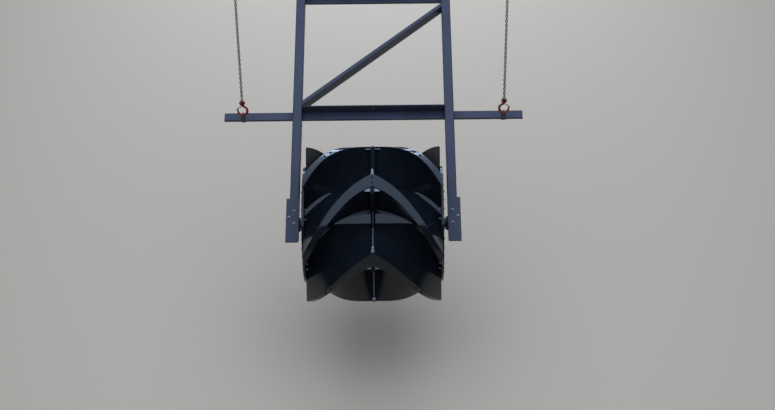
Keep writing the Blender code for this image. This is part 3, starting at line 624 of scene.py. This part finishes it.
# towards the discs the flange leans: its root edge stands off the drum by this much
def flangeLean(across):
    return blade["flangeTilt"] * ease(abs(across), blade["tiltFrom"], blade["tiltOver"])


def flangePoint(across, share):
    middle = blade["rootRadius"] - blade["flangeSunk"]
    low = -arcDegrees(blade["flangeWidth"], middle)
    high = arcDegrees(blade["plateRound"], middle)
    return rotorPoint(across * rotor["halfWidth"], middle + share * flangeLean(across),
                      rootAngle(across) + low + share * (high - low))


# the back skin runs straight from the lip's upper edge down to the drum, and further out onto the next blade's
# root flange
def skinPoint(across, share):
    along = across * rotor["halfWidth"]
    front = rotorPoint(along, rotor["radius"] - blade["lipThickness"] / 2,
                       lipAngle(across) + arcDegrees(lipWidth(across) - blade["inset"], rotor["radius"]))
    nextRoot = 360 / rotor["blades"] + rootAngle(across)
    inView = min(lap["most"], lap["least"] + max(0.0, abs(across) - lap["start"]) * lap["slope"])
    rear = min(skin["rear"], nextRoot - inView)
    flangeDegrees = arcDegrees(blade["flangeWidth"], blade["rootRadius"])
    onFlange = max(0.0, rear - nextRoot + flangeDegrees)
    rise = min(1.0, onFlange / lap["ramp"]) * lap["step"] + onFlange / flangeDegrees * flangeLean(across)
    foot = rotorPoint(along, blade["rootRadius"] + skin["thickness"] / 2 - skin["sunk"] + rise, rear)
    return front.lerp(foot, share)


# a solid with one outline all along the axle; its corners are (radius, degrees)
def rotorPrism(name, corners, low, high):
    return plate(name, [rotorPoint(0, radius, angle)[1:] for radius, angle in corners], low, high)


# one of the blade's sheets, cut back from the centre ring
def copedSheet(name, rows, placeOf, thickness, edge=blade["sheetEdge"]):
    piece = curvedSheet(name, 96, rows, placeOf, thickness, edge)
    carve(piece, lathe("coping", mirrored(coping), 96))
    return smooth(piece)


coping = ((0.021, 0.2), (0.021, 0.404))
bladePlate = copedSheet("bladePlate", 12, bladePlatePoint, blade["plateThickness"], blade["plateEdge"])
lip = curvedSheet("bladeLip", 96, 8, lipPoint, blade["lipThickness"], blade["lipEdge"])
backSkin = copedSheet("backSkin", 10, skinPoint, skin["thickness"])
rootFlange = copedSheet("rootFlange", 4, flangePoint, blade["flangeThickness"])
sink = blade["plateRound"] / 2
barCorners = [(radius, apex + arcDegrees(offset, radius)) for radius, apex, offset in (
    (blade["ringRadius"], blade["rootApex"], -blade["barDepthLow"]),
    (blade["ringRadius"], blade["rootApex"], sink), (blade["barTop"], blade["lipApex"], sink),
    (blade["barTop"], blade["lipApex"], -blade["barDepthHigh"]))]
centreBar = soften(rotorPrism("centreBar", barCorners, -blade["barHalf"], blade["barHalf"]), blade["barEdge"], 2, 60)
oneBlade = joined("oneBlade", [bladePlate, lip, backSkin, rootFlange])
bladeTurns = [Matrix.Rotation(-math.tau * number / rotor["blades"], 4, "X") for number in range(rotor["blades"])]
seat(copies("bladeCentreBars", centreBar, bladeTurns), onRotor, mattEnamel, "rotor", "rotor_paint")
drop(centreBar)
for number, turn in enumerate(bladeTurns, 1):
    seat(copies(f"bladeAssembly{number}", oneBlade, [turn]), *rotorSteel, f"blade_{number}")
drop(oneBlade)

# zinc corner plates under each lip, either side of the centre bar, whose pale colour is a painted glint, and a
# lifting stud on each back skin
apex = dict(
    plateInner=0.0192, plateOuter=0.070, plateLow=23.6, plateHigh=28.6, plateRadius=0.7105, plateThickness=0.006,
    studRadius=0.010, studHeight=0.054, studBack=0.04, nutRadius=0.017, nutHeight=0.010, chamfer=0.0015,
    nutChamfer=0.0008, plateChamfer=0.001)
low, high = apex["plateRadius"] - apex["plateThickness"], apex["plateRadius"]
corners = [(low, apex["plateLow"]), (high, apex["plateLow"]), (high, apex["plateHigh"]), (low, apex["plateHigh"])]
cornerPlates = []
for sign in (-1, 1):
    ends = sorted((sign * apex["plateInner"], sign * apex["plateOuter"]))
    cornerPlates.append(soften(rotorPrism("cornerPlate", corners, *ends), apex["plateChamfer"], 2, 60))
foot = skinPoint(0, apex["studBack"])
outward = (skinPoint(0, 1) - skinPoint(0, 0)).normalized().cross(Vector((1, 0, 0)))
outward = -outward if outward.dot(foot) < 0 else outward
stud = soften(rod("stud", foot, foot + outward * apex["studHeight"], apex["studRadius"], 28), apex["chamfer"])
nutTop = foot + outward * (apex["nutHeight"] + skin["thickness"] / 2)
nut = soften(rod("nut", foot, nutTop, apex["nutRadius"], 6), apex["nutChamfer"], 2, 50)
# a bead down the back skin's centre ridge, whose pale colour is a painted highlight on that ridge
seam = wire("seam", [skinPoint(0, step / 20) + outward * skin["thickness"] / 2 for step in range(2, 18)],
            skin["seamRadius"], around=2)
apexFittings = joined("apexFittings", [*cornerPlates, stud, nut, seam])
seat(copies("apexFittings", apexFittings, bladeTurns), onRotor, zincWithPaintedGlint, "rotor", "chain_steel")
drop(apexFittings)

# painted bolts in each lip: two at the apex that hold the corner plates, and a pair on each half
lipBolts = dict(apexShares=(0.30, 0.72), pairs=(0.62, 0.70), pairShare=0.5)
onLip = [(0.0, share) for share in lipBolts["apexShares"]]
onLip += [(sign * across, lipBolts["pairShare"]) for across in lipBolts["pairs"] for sign in (-1, 1)]
spots = []
for turn in bladeTurns:
    for across, share in onLip:
        point = lipPoint(across, share)
        radial = Vector((0, point.y, point.z)).normalized()
        spots.append((turn @ (point + radial * blade["lipThickness"] / 2), turn @ radial))
bolts("lipBolts", smallBolt, spots, *rotorSteel)
print("blades ready")

# drum, centre ring and side discs, turned about the axle
discs = dict(
    inner=0.6297, outer=0.6517, radius=0.545, hubRadius=0.075, hubFace=0.6617, bore=0.0306, groove=0.004,
    grooveDepth=0.012, chamfer=0.0015, boltCircle=0.470, bolts=32, boltPhase=4.3, boltClear=2.5, padRadius=0.014,
    padHeight=0.009, padEdge=0.0008, hubBolts=8, hubBoltCircle=0.108)
shell = [(rotor["halfWidth"], rotor[radius]) for radius in ("drumInside", "drumRadius")]
seat(lathe("drumShell", mirrored(shell), 192), *rotorSteel, "drum")
# the ring stands on the drum with sloping sides and a narrow rim
joint = ((0.022, 0.3403), (0.020, 0.346), (0.0065, 0.3925), (0.0045, 0.3945), (0.0045, 0.4005), (0.003, 0.402))
seat(lathe("drumJointRing", mirrored(joint), 192), *rotorSteel, "centre_ring")


# degrees between a place on the bolt circle and the nearest blade plate or back skin at the disc
def boltClearance(angle):
    def angleOf(point):
        return math.degrees(math.atan2(point.z, -point.y)) - rotor["viewTilt"]

    crossings = []
    for start, end in ((bladePlatePoint(1, 0), bladePlatePoint(1, 1)), (skinPoint(1, 1), skinPoint(1, 0))):
        share = min((step / 200 for step in range(201)),
                    key=lambda s: abs(start.lerp(end, s).yz.length - discs["boltCircle"]))
        crossings.append(angleOf(start.lerp(end, share)))
    period = 360 / rotor["blades"]
    return min(abs((angle - crossing + period / 2) % period - period / 2) for crossing in crossings)


inner, outer, rim, chamfer = [discs[key] for key in ("inner", "outer", "radius", "chamfer")]
middle, half, deep = (inner + outer) / 2, discs["groove"] / 2, rim - discs["grooveDepth"]
hub, face, bore = discs["hubRadius"], discs["hubFace"], discs["bore"]
discProfile = [(inner, bore), (inner, rim - chamfer), (inner + chamfer, rim), (middle - half, rim),
               (middle - half, deep), (middle + half, deep), (middle + half, rim), (outer - chamfer, rim),
               (outer, rim - chamfer), (outer, hub), (face - chamfer, hub), (face, hub - chamfer), (face, bore)]
for side, sign in bothSides:
    title = side.title()
    disc = lathe(f"sideDisc{title}", [(sign * along, radius) for along, radius in discProfile], 192)
    seat(disc, *rotorSteel, f"side_disc_{side}")
    inward, outward, pads = [], [], []
    for number in range(discs["bolts"]):
        angle = discs["boltPhase"] + 360 * number / discs["bolts"]
        outward.append((rotorPoint(sign * outer, discs["boltCircle"], angle), (sign, 0, 0)))
        if boltClearance(angle) > discs["boltClear"]:
            foot = rotorPoint(sign * inner, discs["boltCircle"], angle)
            head = rotorPoint(sign * (inner - discs["padHeight"]), discs["boltCircle"], angle)
            pads.append(soften(rod("pad", foot, head, discs["padRadius"], 20), discs["padEdge"]))
            inward.append((head, (-sign, 0, 0)))
    seat(joined(f"boltPads{title}", pads), *rotorSteel)
    outward += [(rotorPoint(sign * outer, discs["hubBoltCircle"], 360 * number / discs["hubBolts"]), (sign, 0, 0))
                for number in range(discs["hubBolts"])]
    bolts(f"discInnerBolts{title}", smallBolt, inward, *rotorZinc)
    bolts(f"discOuterBolts{title}", smallBolt, outward, *rotorZinc)
shaft = dict(radius=0.030, reach=0.698, chamfer=0.002, centreRadius=0.006, centreDepth=0.008, tip=0.0005)
reach, radius = shaft["reach"], shaft["radius"]
profile = [(reach - shaft["centreDepth"], shaft["tip"]), (reach, shaft["centreRadius"]),
           (reach, radius - shaft["chamfer"]), (reach - shaft["chamfer"], radius)]
seat(lathe("axleShaft", mirrored(profile), 48), onRotor, turnedSteel, "rotor", "shaft_steel", "axle")
print("rotor ready")

# the two arms: rolled hollow section, plugged and raked at the lower end
armTube = dict(corner=0.012, cornerSteps=5)
outline = [(swing["armLowerEnd"], swing["armTop"]), (swing["armLowerEnd"] + swing["endCut"], swing["armBottom"]),
           (swing["armUpperEnd"], swing["armBottom"]), (swing["armUpperEnd"], swing["armTop"])]
for side, sign in bothSides:
    inner, outer = sorted((sign * swing["armInner"], sign * swing["armOuter"]))
    arm = roundAlong(plate(f"armTube{side.title()}", outline, inner, outer), (0, 1, 0), armTube["corner"],
                     armTube["cornerSteps"])
    seat(smooth(arm, 40), *frameSteel, f"arm_{side}")

# crossbars: a flat foot under the arms, with an upright plate on its upstream edge
bars = dict(
    footHalf=0.044, footTop=-0.0403, footBottom=-0.0683, uprightBack=0.044, uprightFront=0.036, uprightTop=0.072,
    uprightReach=0.7037, uprightEdge=0.0012, chainReach=1.480, footEdge=0.003, boltHeight=0.022)


def footBar(name, middle, reach):
    piece = block(name, (-reach, middle - bars["footHalf"], bars["footBottom"]),
                  (reach, middle + bars["footHalf"], bars["footTop"]))
    return soften(piece, bars["footEdge"])


def uprightPlate(name, middle, low):
    piece = block(name, (-bars["uprightReach"], middle + bars["uprightFront"], low),
                  (bars["uprightReach"], middle + bars["uprightBack"], bars["uprightTop"]))
    return soften(piece, bars["uprightEdge"])


seat(footBar("chainBar", lowerBar, bars["chainReach"]), *frameSteel, "chain_bar")
seat(uprightPlate("lowerUpright", lowerBar, swing["armBottom"]), *frameSteel, "crossbar_lower")
spot = (0.0, lowerBar + bars["uprightFront"], bars["boltHeight"])
bolts("uprightBolt", smallBolt, [(spot, (0, -1, 0))], *frameZinc)
for name, middle in (("middle", middleBar), ("upper", upperBar)):
    foot = footBar(f"{name}Foot", middle, swing["armOuter"])
    upright = uprightPlate(f"{name}Upright", middle, bars["footTop"])
    seat(joined(f"{name}Crossbar", [foot, upright]), *frameSteel, f"crossbar_{name}")

# diagonal braces, cut flush with the arms' inner faces
braces = dict(
    width=0.039, low=-0.040, high=0.072, lowStandoff=0.013, highStandoff=0.105, corner=0.005, cornerSteps=4,
    reach=0.7037)
braceRuns = dict(lower=(1, lowerBar, middleBar), upper=(-1, middleBar, upperBar))


def braceEnds(lowBar, highBar):
    return lowBar + bars["footHalf"] + braces["lowStandoff"], highBar - bars["footHalf"] - braces["highStandoff"]


for name, (lean, lowBar, highBar) in braceRuns.items():
    start, end = braceEnds(lowBar, highBar)
    reach = lean * braces["reach"]
    across = braces["width"] / math.cos(math.atan2(end - start, 2 * braces["reach"]))
    outline = [(-reach, start), (reach, end - across), (reach, end), (-reach, start + across)]
    brace = plate(f"{name}Brace", outline, braces["low"], braces["high"], "XYZ")
    roundAlong(brace, (2 * reach, end - across - start, 0), braces["corner"], braces["cornerSteps"])
    seat(smooth(brace, 40), *frameSteel, f"brace_{name}")

# weld beads of the swing frame: bars under the arms, uprights and braces against the arms' inner faces
seams = dict(
    inset=0.004, proud=0.001, low=-0.036, braceLow=-0.034, high=0.066, braceStart=0.002, braceEnd=0.054,
    chainBarRun=0.080, reach=0.698)
for side, sign in bothSides:
    inner, outer = sign * swing["armInner"], sign * swing["armOuter"]
    face, braceFace = sign * bars["uprightReach"], sign * braces["reach"]
    inset, corner, lines = seams["inset"], armTube["corner"], []
    for bar in swing["bars"]:
        low, high = bar - bars["footHalf"] + inset, bar + bars["footHalf"] - inset
        lines.append(((inner, low, bars["footTop"]), (inner, high, bars["footTop"])))
        for along in (bar + bars["uprightFront"] - seams["proud"], bar + bars["uprightBack"] + seams["proud"]):
            lines.append(((face, along, seams["low"]), (face, along, seams["high"])))
    low = lowerBar - bars["footHalf"] + inset
    lines.append(((outer, low, bars["footTop"]), (outer, low + seams["chainBarRun"], bars["footTop"])))
    for lean, lowBar, highBar in braceRuns.values():
        start, end = braceEnds(lowBar, highBar)
        edges = ((start + seams["braceStart"], start + seams["braceEnd"]) if sign * lean < 0 else
                 (end - seams["braceEnd"], end - seams["braceStart"]))
        for edge in edges:
            lines.append(((braceFace, edge, seams["braceLow"]), (braceFace, edge, seams["high"])))
        lines.append(((braceFace, edges[0], braces["high"]), (braceFace, edges[1], braces["high"])))
    end = swing["armUpperEnd"]
    lines.append(((inner + sign * corner, end, swing["armTop"]), (outer - sign * corner, end, swing["armTop"])))
    for edge in (inner, outer):
        lines.append(((edge, end, swing["armBottom"] + corner), (edge, end, swing["armTop"] - corner)))
    welds(f"frameWelds{side.title()}", lines, *frameSteel)
lines = []
for bar in swing["bars"]:
    along, up = bar + bars["uprightFront"], bars["footTop"] + seams["proud"]
    lines.append(((-seams["reach"], along, up), (seams["reach"], along, up)))
welds("uprightWelds", lines, *frameSteel)

# pivot eyes, lugs, saddles and bearings keep the CAD form, with their edges broken
cadForms = (("pivotEye", "pivot_eye", 0.002, 2, framePaint, "frame_paint"),
            ("chainLug", "chain_lug", 0.0015, 2, framePaint, "frame_paint"),
            ("bearingSaddle", "bearing_saddle", 0.002, 2, framePaint, "frame_paint"),
            ("axleBearing", "axle_bearing", 0.0025, 3, castPaint, "bearing_iron"))
for side, sign in bothSides:
    for title, node, edge, segments, finish, slot in cadForms:
        piece = refined(f"{title}{side.title()}", f"{node}_{side}", edge, segments)
        seat(piece, inPlace, finish, "swing_frame", slot, f"{node}_{side}")
lug = dict(reach=1.286, back=-3.0443, halfWidth=0.0225, foot=-0.0583, inset=0.003)
for side, sign in bothSides:
    left, right = sign * lug["reach"] - lug["halfWidth"], sign * lug["reach"] + lug["halfWidth"]
    back, foot, top = lug["back"], lug["foot"] + lug["inset"], bars["footTop"]
    lines = [((left, back, top), (right, back, top))] + [((edge, back, foot), (edge, back, top))
                                                         for edge in (left, right)]
    welds(f"lugWelds{side.title()}", lines, *frameSteel)
saddle = dict(top=0.0923, inlay=0.745, outlay=0.797, upper=0.092, lower=-0.046, between=0.025)
bearing = dict(flangeFace=0.6877, boltReach=0.057)
for side, sign in bothSides:
    along = -swing["pivotToAxle"]
    spots = [((sign * saddle[out], along + saddle[place], saddle["top"]), (0, 0, 1))
             for out, place in (("inlay", "upper"), ("outlay", "between"), ("inlay", "lower"))]
    bolts(f"saddleBolts{side.title()}", middleBolt, spots, *frameZinc)
    spots = [((sign * bearing["flangeFace"], along + step * bearing["boltReach"], 0), (-sign, 0, 0))
             for step in (-1, 1)]
    bolts(f"bearingBolts{side.title()}", smallBolt, spots, *frameZinc)
print("swing frame ready")

# bow shackles through the lugs: forged bow with an eye at each end, a pin with a head, and a split pin;
# pinTip is how near to its axis a turned pin's end is closed
shackle = dict(
    wire=0.007, bow=0.024, rise=0.034, thicker=0.12, shoulder=1.25, eyeRadius=0.013, eyeFace=0.011, eyeBore=0.0055,
    eyeHalf=0.008, eyeChamfer=0.002, pin=0.0075, pinEnd=0.0135, pinChamfer=0.001, headRadius=0.0115, headFace=0.009,
    headLength=0.005, headChamfer=0.0012, along=-3.0513, up=0.0142, splitWire=0.0012,
    split=((0, -0.004, 0.014), (0, -0.004, -0.012), (0.003, -0.003, -0.017)))
pinTip = 0.0004
quarterTurn = Matrix.Rotation(math.radians(90), 4, "Z")
bow, half, reach = shackle["bow"], shackle["eyeHalf"], shackle["bow"] + shackle["pinEnd"]
head, neck, chamfer = shackle["headRadius"], -reach + shackle["headLength"], shackle["pinChamfer"]
curve = [(-bow, 0.0), *arc((0.0, shackle["rise"]), bow, 180, 0, 24), (bow, 0.0)]
swell = [1.0 + shackle["thicker"] * abs(step - 12) / 12 for step in range(25)]
swell = [shackle["shoulder"], *swell, shackle["shoulder"]]
eye = mirrored(((half, shackle["eyeBore"]), (half, shackle["eyeFace"]),
                (half - shackle["eyeChamfer"], shackle["eyeRadius"])))
pinProfile = [(-reach, pinTip), (-reach, shackle["headFace"]), (-reach + shackle["headChamfer"], head), (neck, head),
              (neck, shackle["pin"]), (reach - chamfer, shackle["pin"]), (reach, shackle["pin"] - chamfer),
              (reach, pinTip)]
for side, sign in bothSides:
    turned = [lathe("eye", [(along + out, radius) for out, radius in eye], 28) for along in (-bow, bow)]
    turned.append(lathe("pin", pinProfile, 24))
    turned = [moved(piece, quarterTurn) for piece in turned]
    bent = wire("bow", [(0, along, up) for along, up in curve], shackle["wire"], swell)
    spring = wire("splitPin", [(a, reach + b, c) for a, b, c in shackle["split"]], shackle["splitWire"], around=2)
    place = onSwing @ Matrix.Translation((sign * lug["reach"], shackle["along"], shackle["up"]))
    seat(joined(f"bowShackle{side.title()}", [bent, *turned, spring]), place, chainSteel, "swing_frame",
         "chain_steel", f"shackle_{side}")

# hooks: forged, thick in the back of the bowl and tapered to the point, with a fork that holds the chain
hook = dict(wire=0.0115, bowl=0.044, bowlStart=-5, point=(0.052, 0.027), centre=0.041, steps=3,
            back=((-0.046, 0.016), (-0.040, 0.032), (-0.022, 0.048), (-0.005, 0.059)),
            swell=(0.62, 0.80, 0.86, 0.92, 0.96, 1.0, 1.0, 1.0, 1.0, 1.0, 1.04, 1.10, 1.16, 1.20, 1.22, 1.22, 1.20,
                   1.16, 1.12, 1.08, 1.02, 0.98, 0.98, 1.0, 1.05, 1.05),
            forkFoot=0.109, forkSunk=0.010, forkTop=0.155, forkHalfX=0.022, forkHalfY=0.016, forkCorner=0.010,
            forkEdge=0.0015, slotHalf=0.0062, slotFoot=0.119, slotCut=0.05, slotTop=0.2, latchEdge=0.0008)
hookPin = dict(
    rise=0.132, radius=0.0048, headRadius=0.0085, headFace=0.0065, chamfer=0.0015, headFrom=0.0222, reach=0.030)


# a smooth run through points, a few steps between each two
def flowing(points, steps):
    run = []
    for number in range(len(points) - 1):
        before = points[max(number - 1, 0)]
        start, end = points[number], points[number + 1]
        after = points[min(number + 2, len(points) - 1)]
        for step in range(steps):
            t = step / steps
            run.append(0.5 * ((2 * start) + (end - before) * t + (2 * before - 5 * start + 4 * end - after) * t * t
                              + (3 * start - before - 3 * end + after) * t ** 3))
    return run + [points[-1]]


# one link of welded chain, standing on end in the YZ plane with the middle of its lower bend at the origin
chain = dict(width=0.027, wire=0.008, first=0.1232, last=1.4636, links=55, nominalPitch=0.024226)
bend, length = (chain["width"] - chain["wire"]) / 2, chain["last"] - chain["first"]
pitch = length / (chain["links"] + chain["wire"] / chain["nominalPitch"])
linkHeight = length - (chain["links"] - 1) * pitch
outline = arc((0, bend), bend, 180, 360, 6) + arc((0, linkHeight - bend), bend, 0, 180, 6)
linkMaster = wire("linkMaster", [Vector((0, across, up)) for across, up in outline], chain["wire"] / 2, around=1,
                  closed=True)
linkPlaces = [Matrix.Translation((0, 0, chain["first"] + number * pitch)) @ (quarterTurn if number % 2 else inPlace)
              for number in range(chain["links"])]
ring = dict(centre=1.4826, bend=0.030, wire=0.007, weld=((0.006, pinTip), (0.005, 0.0072), (0.002, 0.0084)))
hang = dict(along=-2.779653, up=-0.804016)
centre, top, swell = hook["centre"], hook["forkFoot"] - hook["centre"], hook["swell"]
hookRun = [hook["point"], *arc((0, 0), hook["bowl"], hook["bowlStart"], -180, 18), *hook["back"], (0.0, top),
           (0.0, top + hook["forkSunk"])]
sizes = []
for step in range((len(hookRun) - 1) * hook["steps"] + 1):
    number, share = step // hook["steps"], step % hook["steps"] / hook["steps"]
    sizes.append(swell[number] * (1 - share) + swell[min(number + 1, len(swell) - 1)] * share)
pinProfile = mirrored(((hookPin["reach"], pinTip), (hookPin["reach"], hookPin["headFace"]),
                       (hookPin["reach"] - hookPin["chamfer"], hookPin["headRadius"]),
                       (hookPin["headFrom"], hookPin["headRadius"]), (hookPin["headFrom"], hookPin["radius"])))
for side, sign in bothSides:
    title, body = side.title(), f"hoist_chain_{side}"
    place = Matrix.Translation((sign * lug["reach"], hang["along"], hang["up"]))
    control = [Vector((sign * out, 0, centre + up)) for out, up in hookRun]
    shank = wire("shank", flowing(control, hook["steps"]), hook["wire"], sizes, around=5)
    fork = block("fork", (-hook["forkHalfX"], -hook["forkHalfY"], hook["forkFoot"]),
                 (hook["forkHalfX"], hook["forkHalfY"], hook["forkTop"]))
    roundAlong(fork, (1, 0, 0), hook["forkCorner"], 4)
    carve(fork, block("slot", (-hook["slotHalf"], -hook["slotCut"], hook["slotFoot"]),
                      (hook["slotHalf"], hook["slotCut"], hook["slotTop"])))
    soften(fork, hook["forkEdge"], 2, 50)
    pin = moved(lathe("pin", pinProfile, 24), Matrix.Translation((0, 0, hookPin["rise"])))
    seat(joined(f"forgedHook{title}", [shank, fork, pin]), place, hookPaint, body, "hook_paint", f"hook_{side}")

    latch = refined(f"latchBlade{title}", f"hook_latch_{side}", hook["latchEdge"])
    seat(latch, inPlace, chainSteel, body, "chain_steel", f"hook_latch_{side}")
    links = copies(f"hoistChain{title}", linkMaster, linkPlaces)
    seat(links, place, chainSteel, body, "chain_steel", f"chain_{side}")
    nothing()
    bpy.ops.mesh.primitive_torus_add(major_radius=ring["bend"], minor_radius=ring["wire"], major_segments=48,
                                     minor_segments=16, location=(0, 0, ring["centre"]),
                                     rotation=(math.radians(90), 0, 0))
    hoop = applyPlace(newest("hoop"))
    top = Matrix.Translation((0, 0, ring["centre"] + ring["bend"]))
    bulge = moved(lathe("bulge", mirrored(ring["weld"]), 16, 60), top)
    hoistRing = smooth(joined(f"topRing{title}", [hoop, bulge]), 60)
    seat(hoistRing, place, chainSteel, body, "chain_steel", f"hoist_ring_{side}")
drop(linkMaster)
print("hooks and chains ready")

# sill beam with stiffeners and anchor bolts, pivot brackets bolted on, and pins
sill = dict(
    web=0.0048, edge=0.096, low=0.0153, high=0.1847, rib=0.010, notch=0.018, ribEdge=0.001, beamEdge=0.0015,
    ribs=(-1.10, -0.749, -0.37, 0.0, 0.37, 0.749, 1.10), anchors=(-1.02, -0.56, 0.56, 1.02), anchorOut=0.062,
    anchorFoot=0.015)
seat(refined("sillBeam", "sill_beam", sill["beamEdge"]), *sillSteel, "sill_beam")
ribs = []
for along in sill["ribs"]:
    for out in (-1, 1):
        low, high = sorted((out * sill["web"], out * sill["edge"]))
        rib = block("rib", (along - sill["rib"] / 2, low, sill["low"]), (along + sill["rib"] / 2, high, sill["high"]))
        # the corners at the web are cut off
        roundAlong(rib, (1, 0, 0), sill["notch"], 1, lambda middle: abs(middle.y) < sill["edge"] / 2)
        ribs.append(soften(rib, sill["ribEdge"]))
seat(joined("sillRibs", ribs), *sillSteel)
anchors = [((along, out * sill["anchorOut"], sill["anchorFoot"]), (0, 0, 1)) for along in sill["anchors"]
           for out in (-1, 1)]
bolts("anchorNuts", largeBolt, anchors, *sillZinc)
bracket = dict(middle=0.749, boltOutX=0.078, boltOutY=0.086, top=0.2183, edge=0.0022, pinEdge=0.0015)
for side, sign in bothSides:
    title = side.title()
    piece = refined(f"pivotBracket{title}", f"pivot_bracket_{side}", bracket["edge"])
    seat(piece, *sillSteel, f"pivot_bracket_{side}")
    spots = [((sign * bracket["middle"] + x * bracket["boltOutX"], y * bracket["boltOutY"], bracket["top"]),
              (0, 0, 1)) for x in (-1, 1) for y in (-1, 1)]
    bolts(f"bracketBolts{title}", largeBolt, spots, *sillZinc)
    pin = refined(f"pivotPin{title}", f"pivot_pin_{side}", bracket["pinEdge"])
    seat(pin, inPlace, turnedSteel, "foundation", "shaft_steel", f"pivot_pin_{side}")
drop(largeBolt, middleBolt, smallBolt)
print("sill ready")

# the camera looks down on the turbine from the downstream side
view = dict(
    place=(0.200, -16.416, 6.580), turns=(0.30, 58.23, -0.73), focalPixels=1569.7, pictureWidth=775, sensor=36.0)
nothing()
bpy.ops.object.camera_add(location=view["place"])
camera = bpy.context.object
pan, tilt, roll = [math.radians(turn) for turn in view["turns"]]
camera.rotation_euler = (Matrix.Rotation(pan, 3, "Z") @ Matrix.Rotation(tilt, 3, "X")
                         @ Matrix.Rotation(roll, 3, "Z")).to_euler()
camera.data.sensor_width = view["sensor"]
camera.data.lens = view["focalPixels"] * view["sensor"] / view["pictureWidth"]
camera.data.clip_end = 300
bpy.context.scene.camera = camera

# a wide soft light overhead and a brighter low one behind, as the open sky lights the real one
studio = dict(
    floorHeight=-2.70, floorSize=160, overheadHeight=8.0, overheadWide=13.0, overheadLong=29.4, overheadAhead=0.9,
    overheadPower=1950, backDistance=14.0, backLow=1.3, backHigh=7.2, backWide=6.0, backPower=700,
    lightTint=(0.66, 0.85, 1.16), world=0.02, floorTint="#d5bea4", floorRough=0.9, floorShine=0.1)
nothing()
bpy.ops.mesh.primitive_plane_add(size=studio["floorSize"], location=(0, 0, studio["floorHeight"]))
floor = newest("studioFloor")
floorFinish = bpy.data.materials.new("pale_matt_floor")
floorFinish.use_nodes = True
surface = floorFinish.node_tree.nodes["Principled BSDF"].inputs
surface["Base Color"].default_value = linear(studio["floorTint"])
surface["Roughness"].default_value = studio["floorRough"]
surface["Specular IOR Level"].default_value = studio["floorShine"]
floor.data.materials.append(floorFinish)


def softLight(name, place, turn, wide, long, power):
    bpy.ops.object.light_add(type="AREA", location=place, rotation=turn)
    lamp = bpy.context.object
    lamp.name = name
    lamp.data.shape = "RECTANGLE"
    lamp.data.size, lamp.data.size_y, lamp.data.energy = wide, long, power
    lamp.data.color = studio["lightTint"]
    lamp.visible_camera = False


softLight("overheadLight", (0, axleCentre.y + studio["overheadAhead"], axleCentre.z + studio["overheadHeight"]),
          (0, 0, 0), studio["overheadWide"], studio["overheadLong"], studio["overheadPower"])
backMiddle = (studio["backLow"] + studio["backHigh"]) / 2
softLight("backLight", (0, axleCentre.y + studio["backDistance"], axleCentre.z + backMiddle),
          (math.radians(-90), 0, 0), studio["backWide"], studio["backHigh"] - studio["backLow"], studio["backPower"])
world = bpy.data.worlds.new("studioWorld")
world.use_nodes = True
backdrop = world.node_tree.nodes["Background"].inputs
backdrop["Color"].default_value = (1, 1, 1, 1)
backdrop["Strength"].default_value = studio["world"]
bpy.context.scene.world = world
bpy.context.scene.view_settings.view_transform = "Standard"
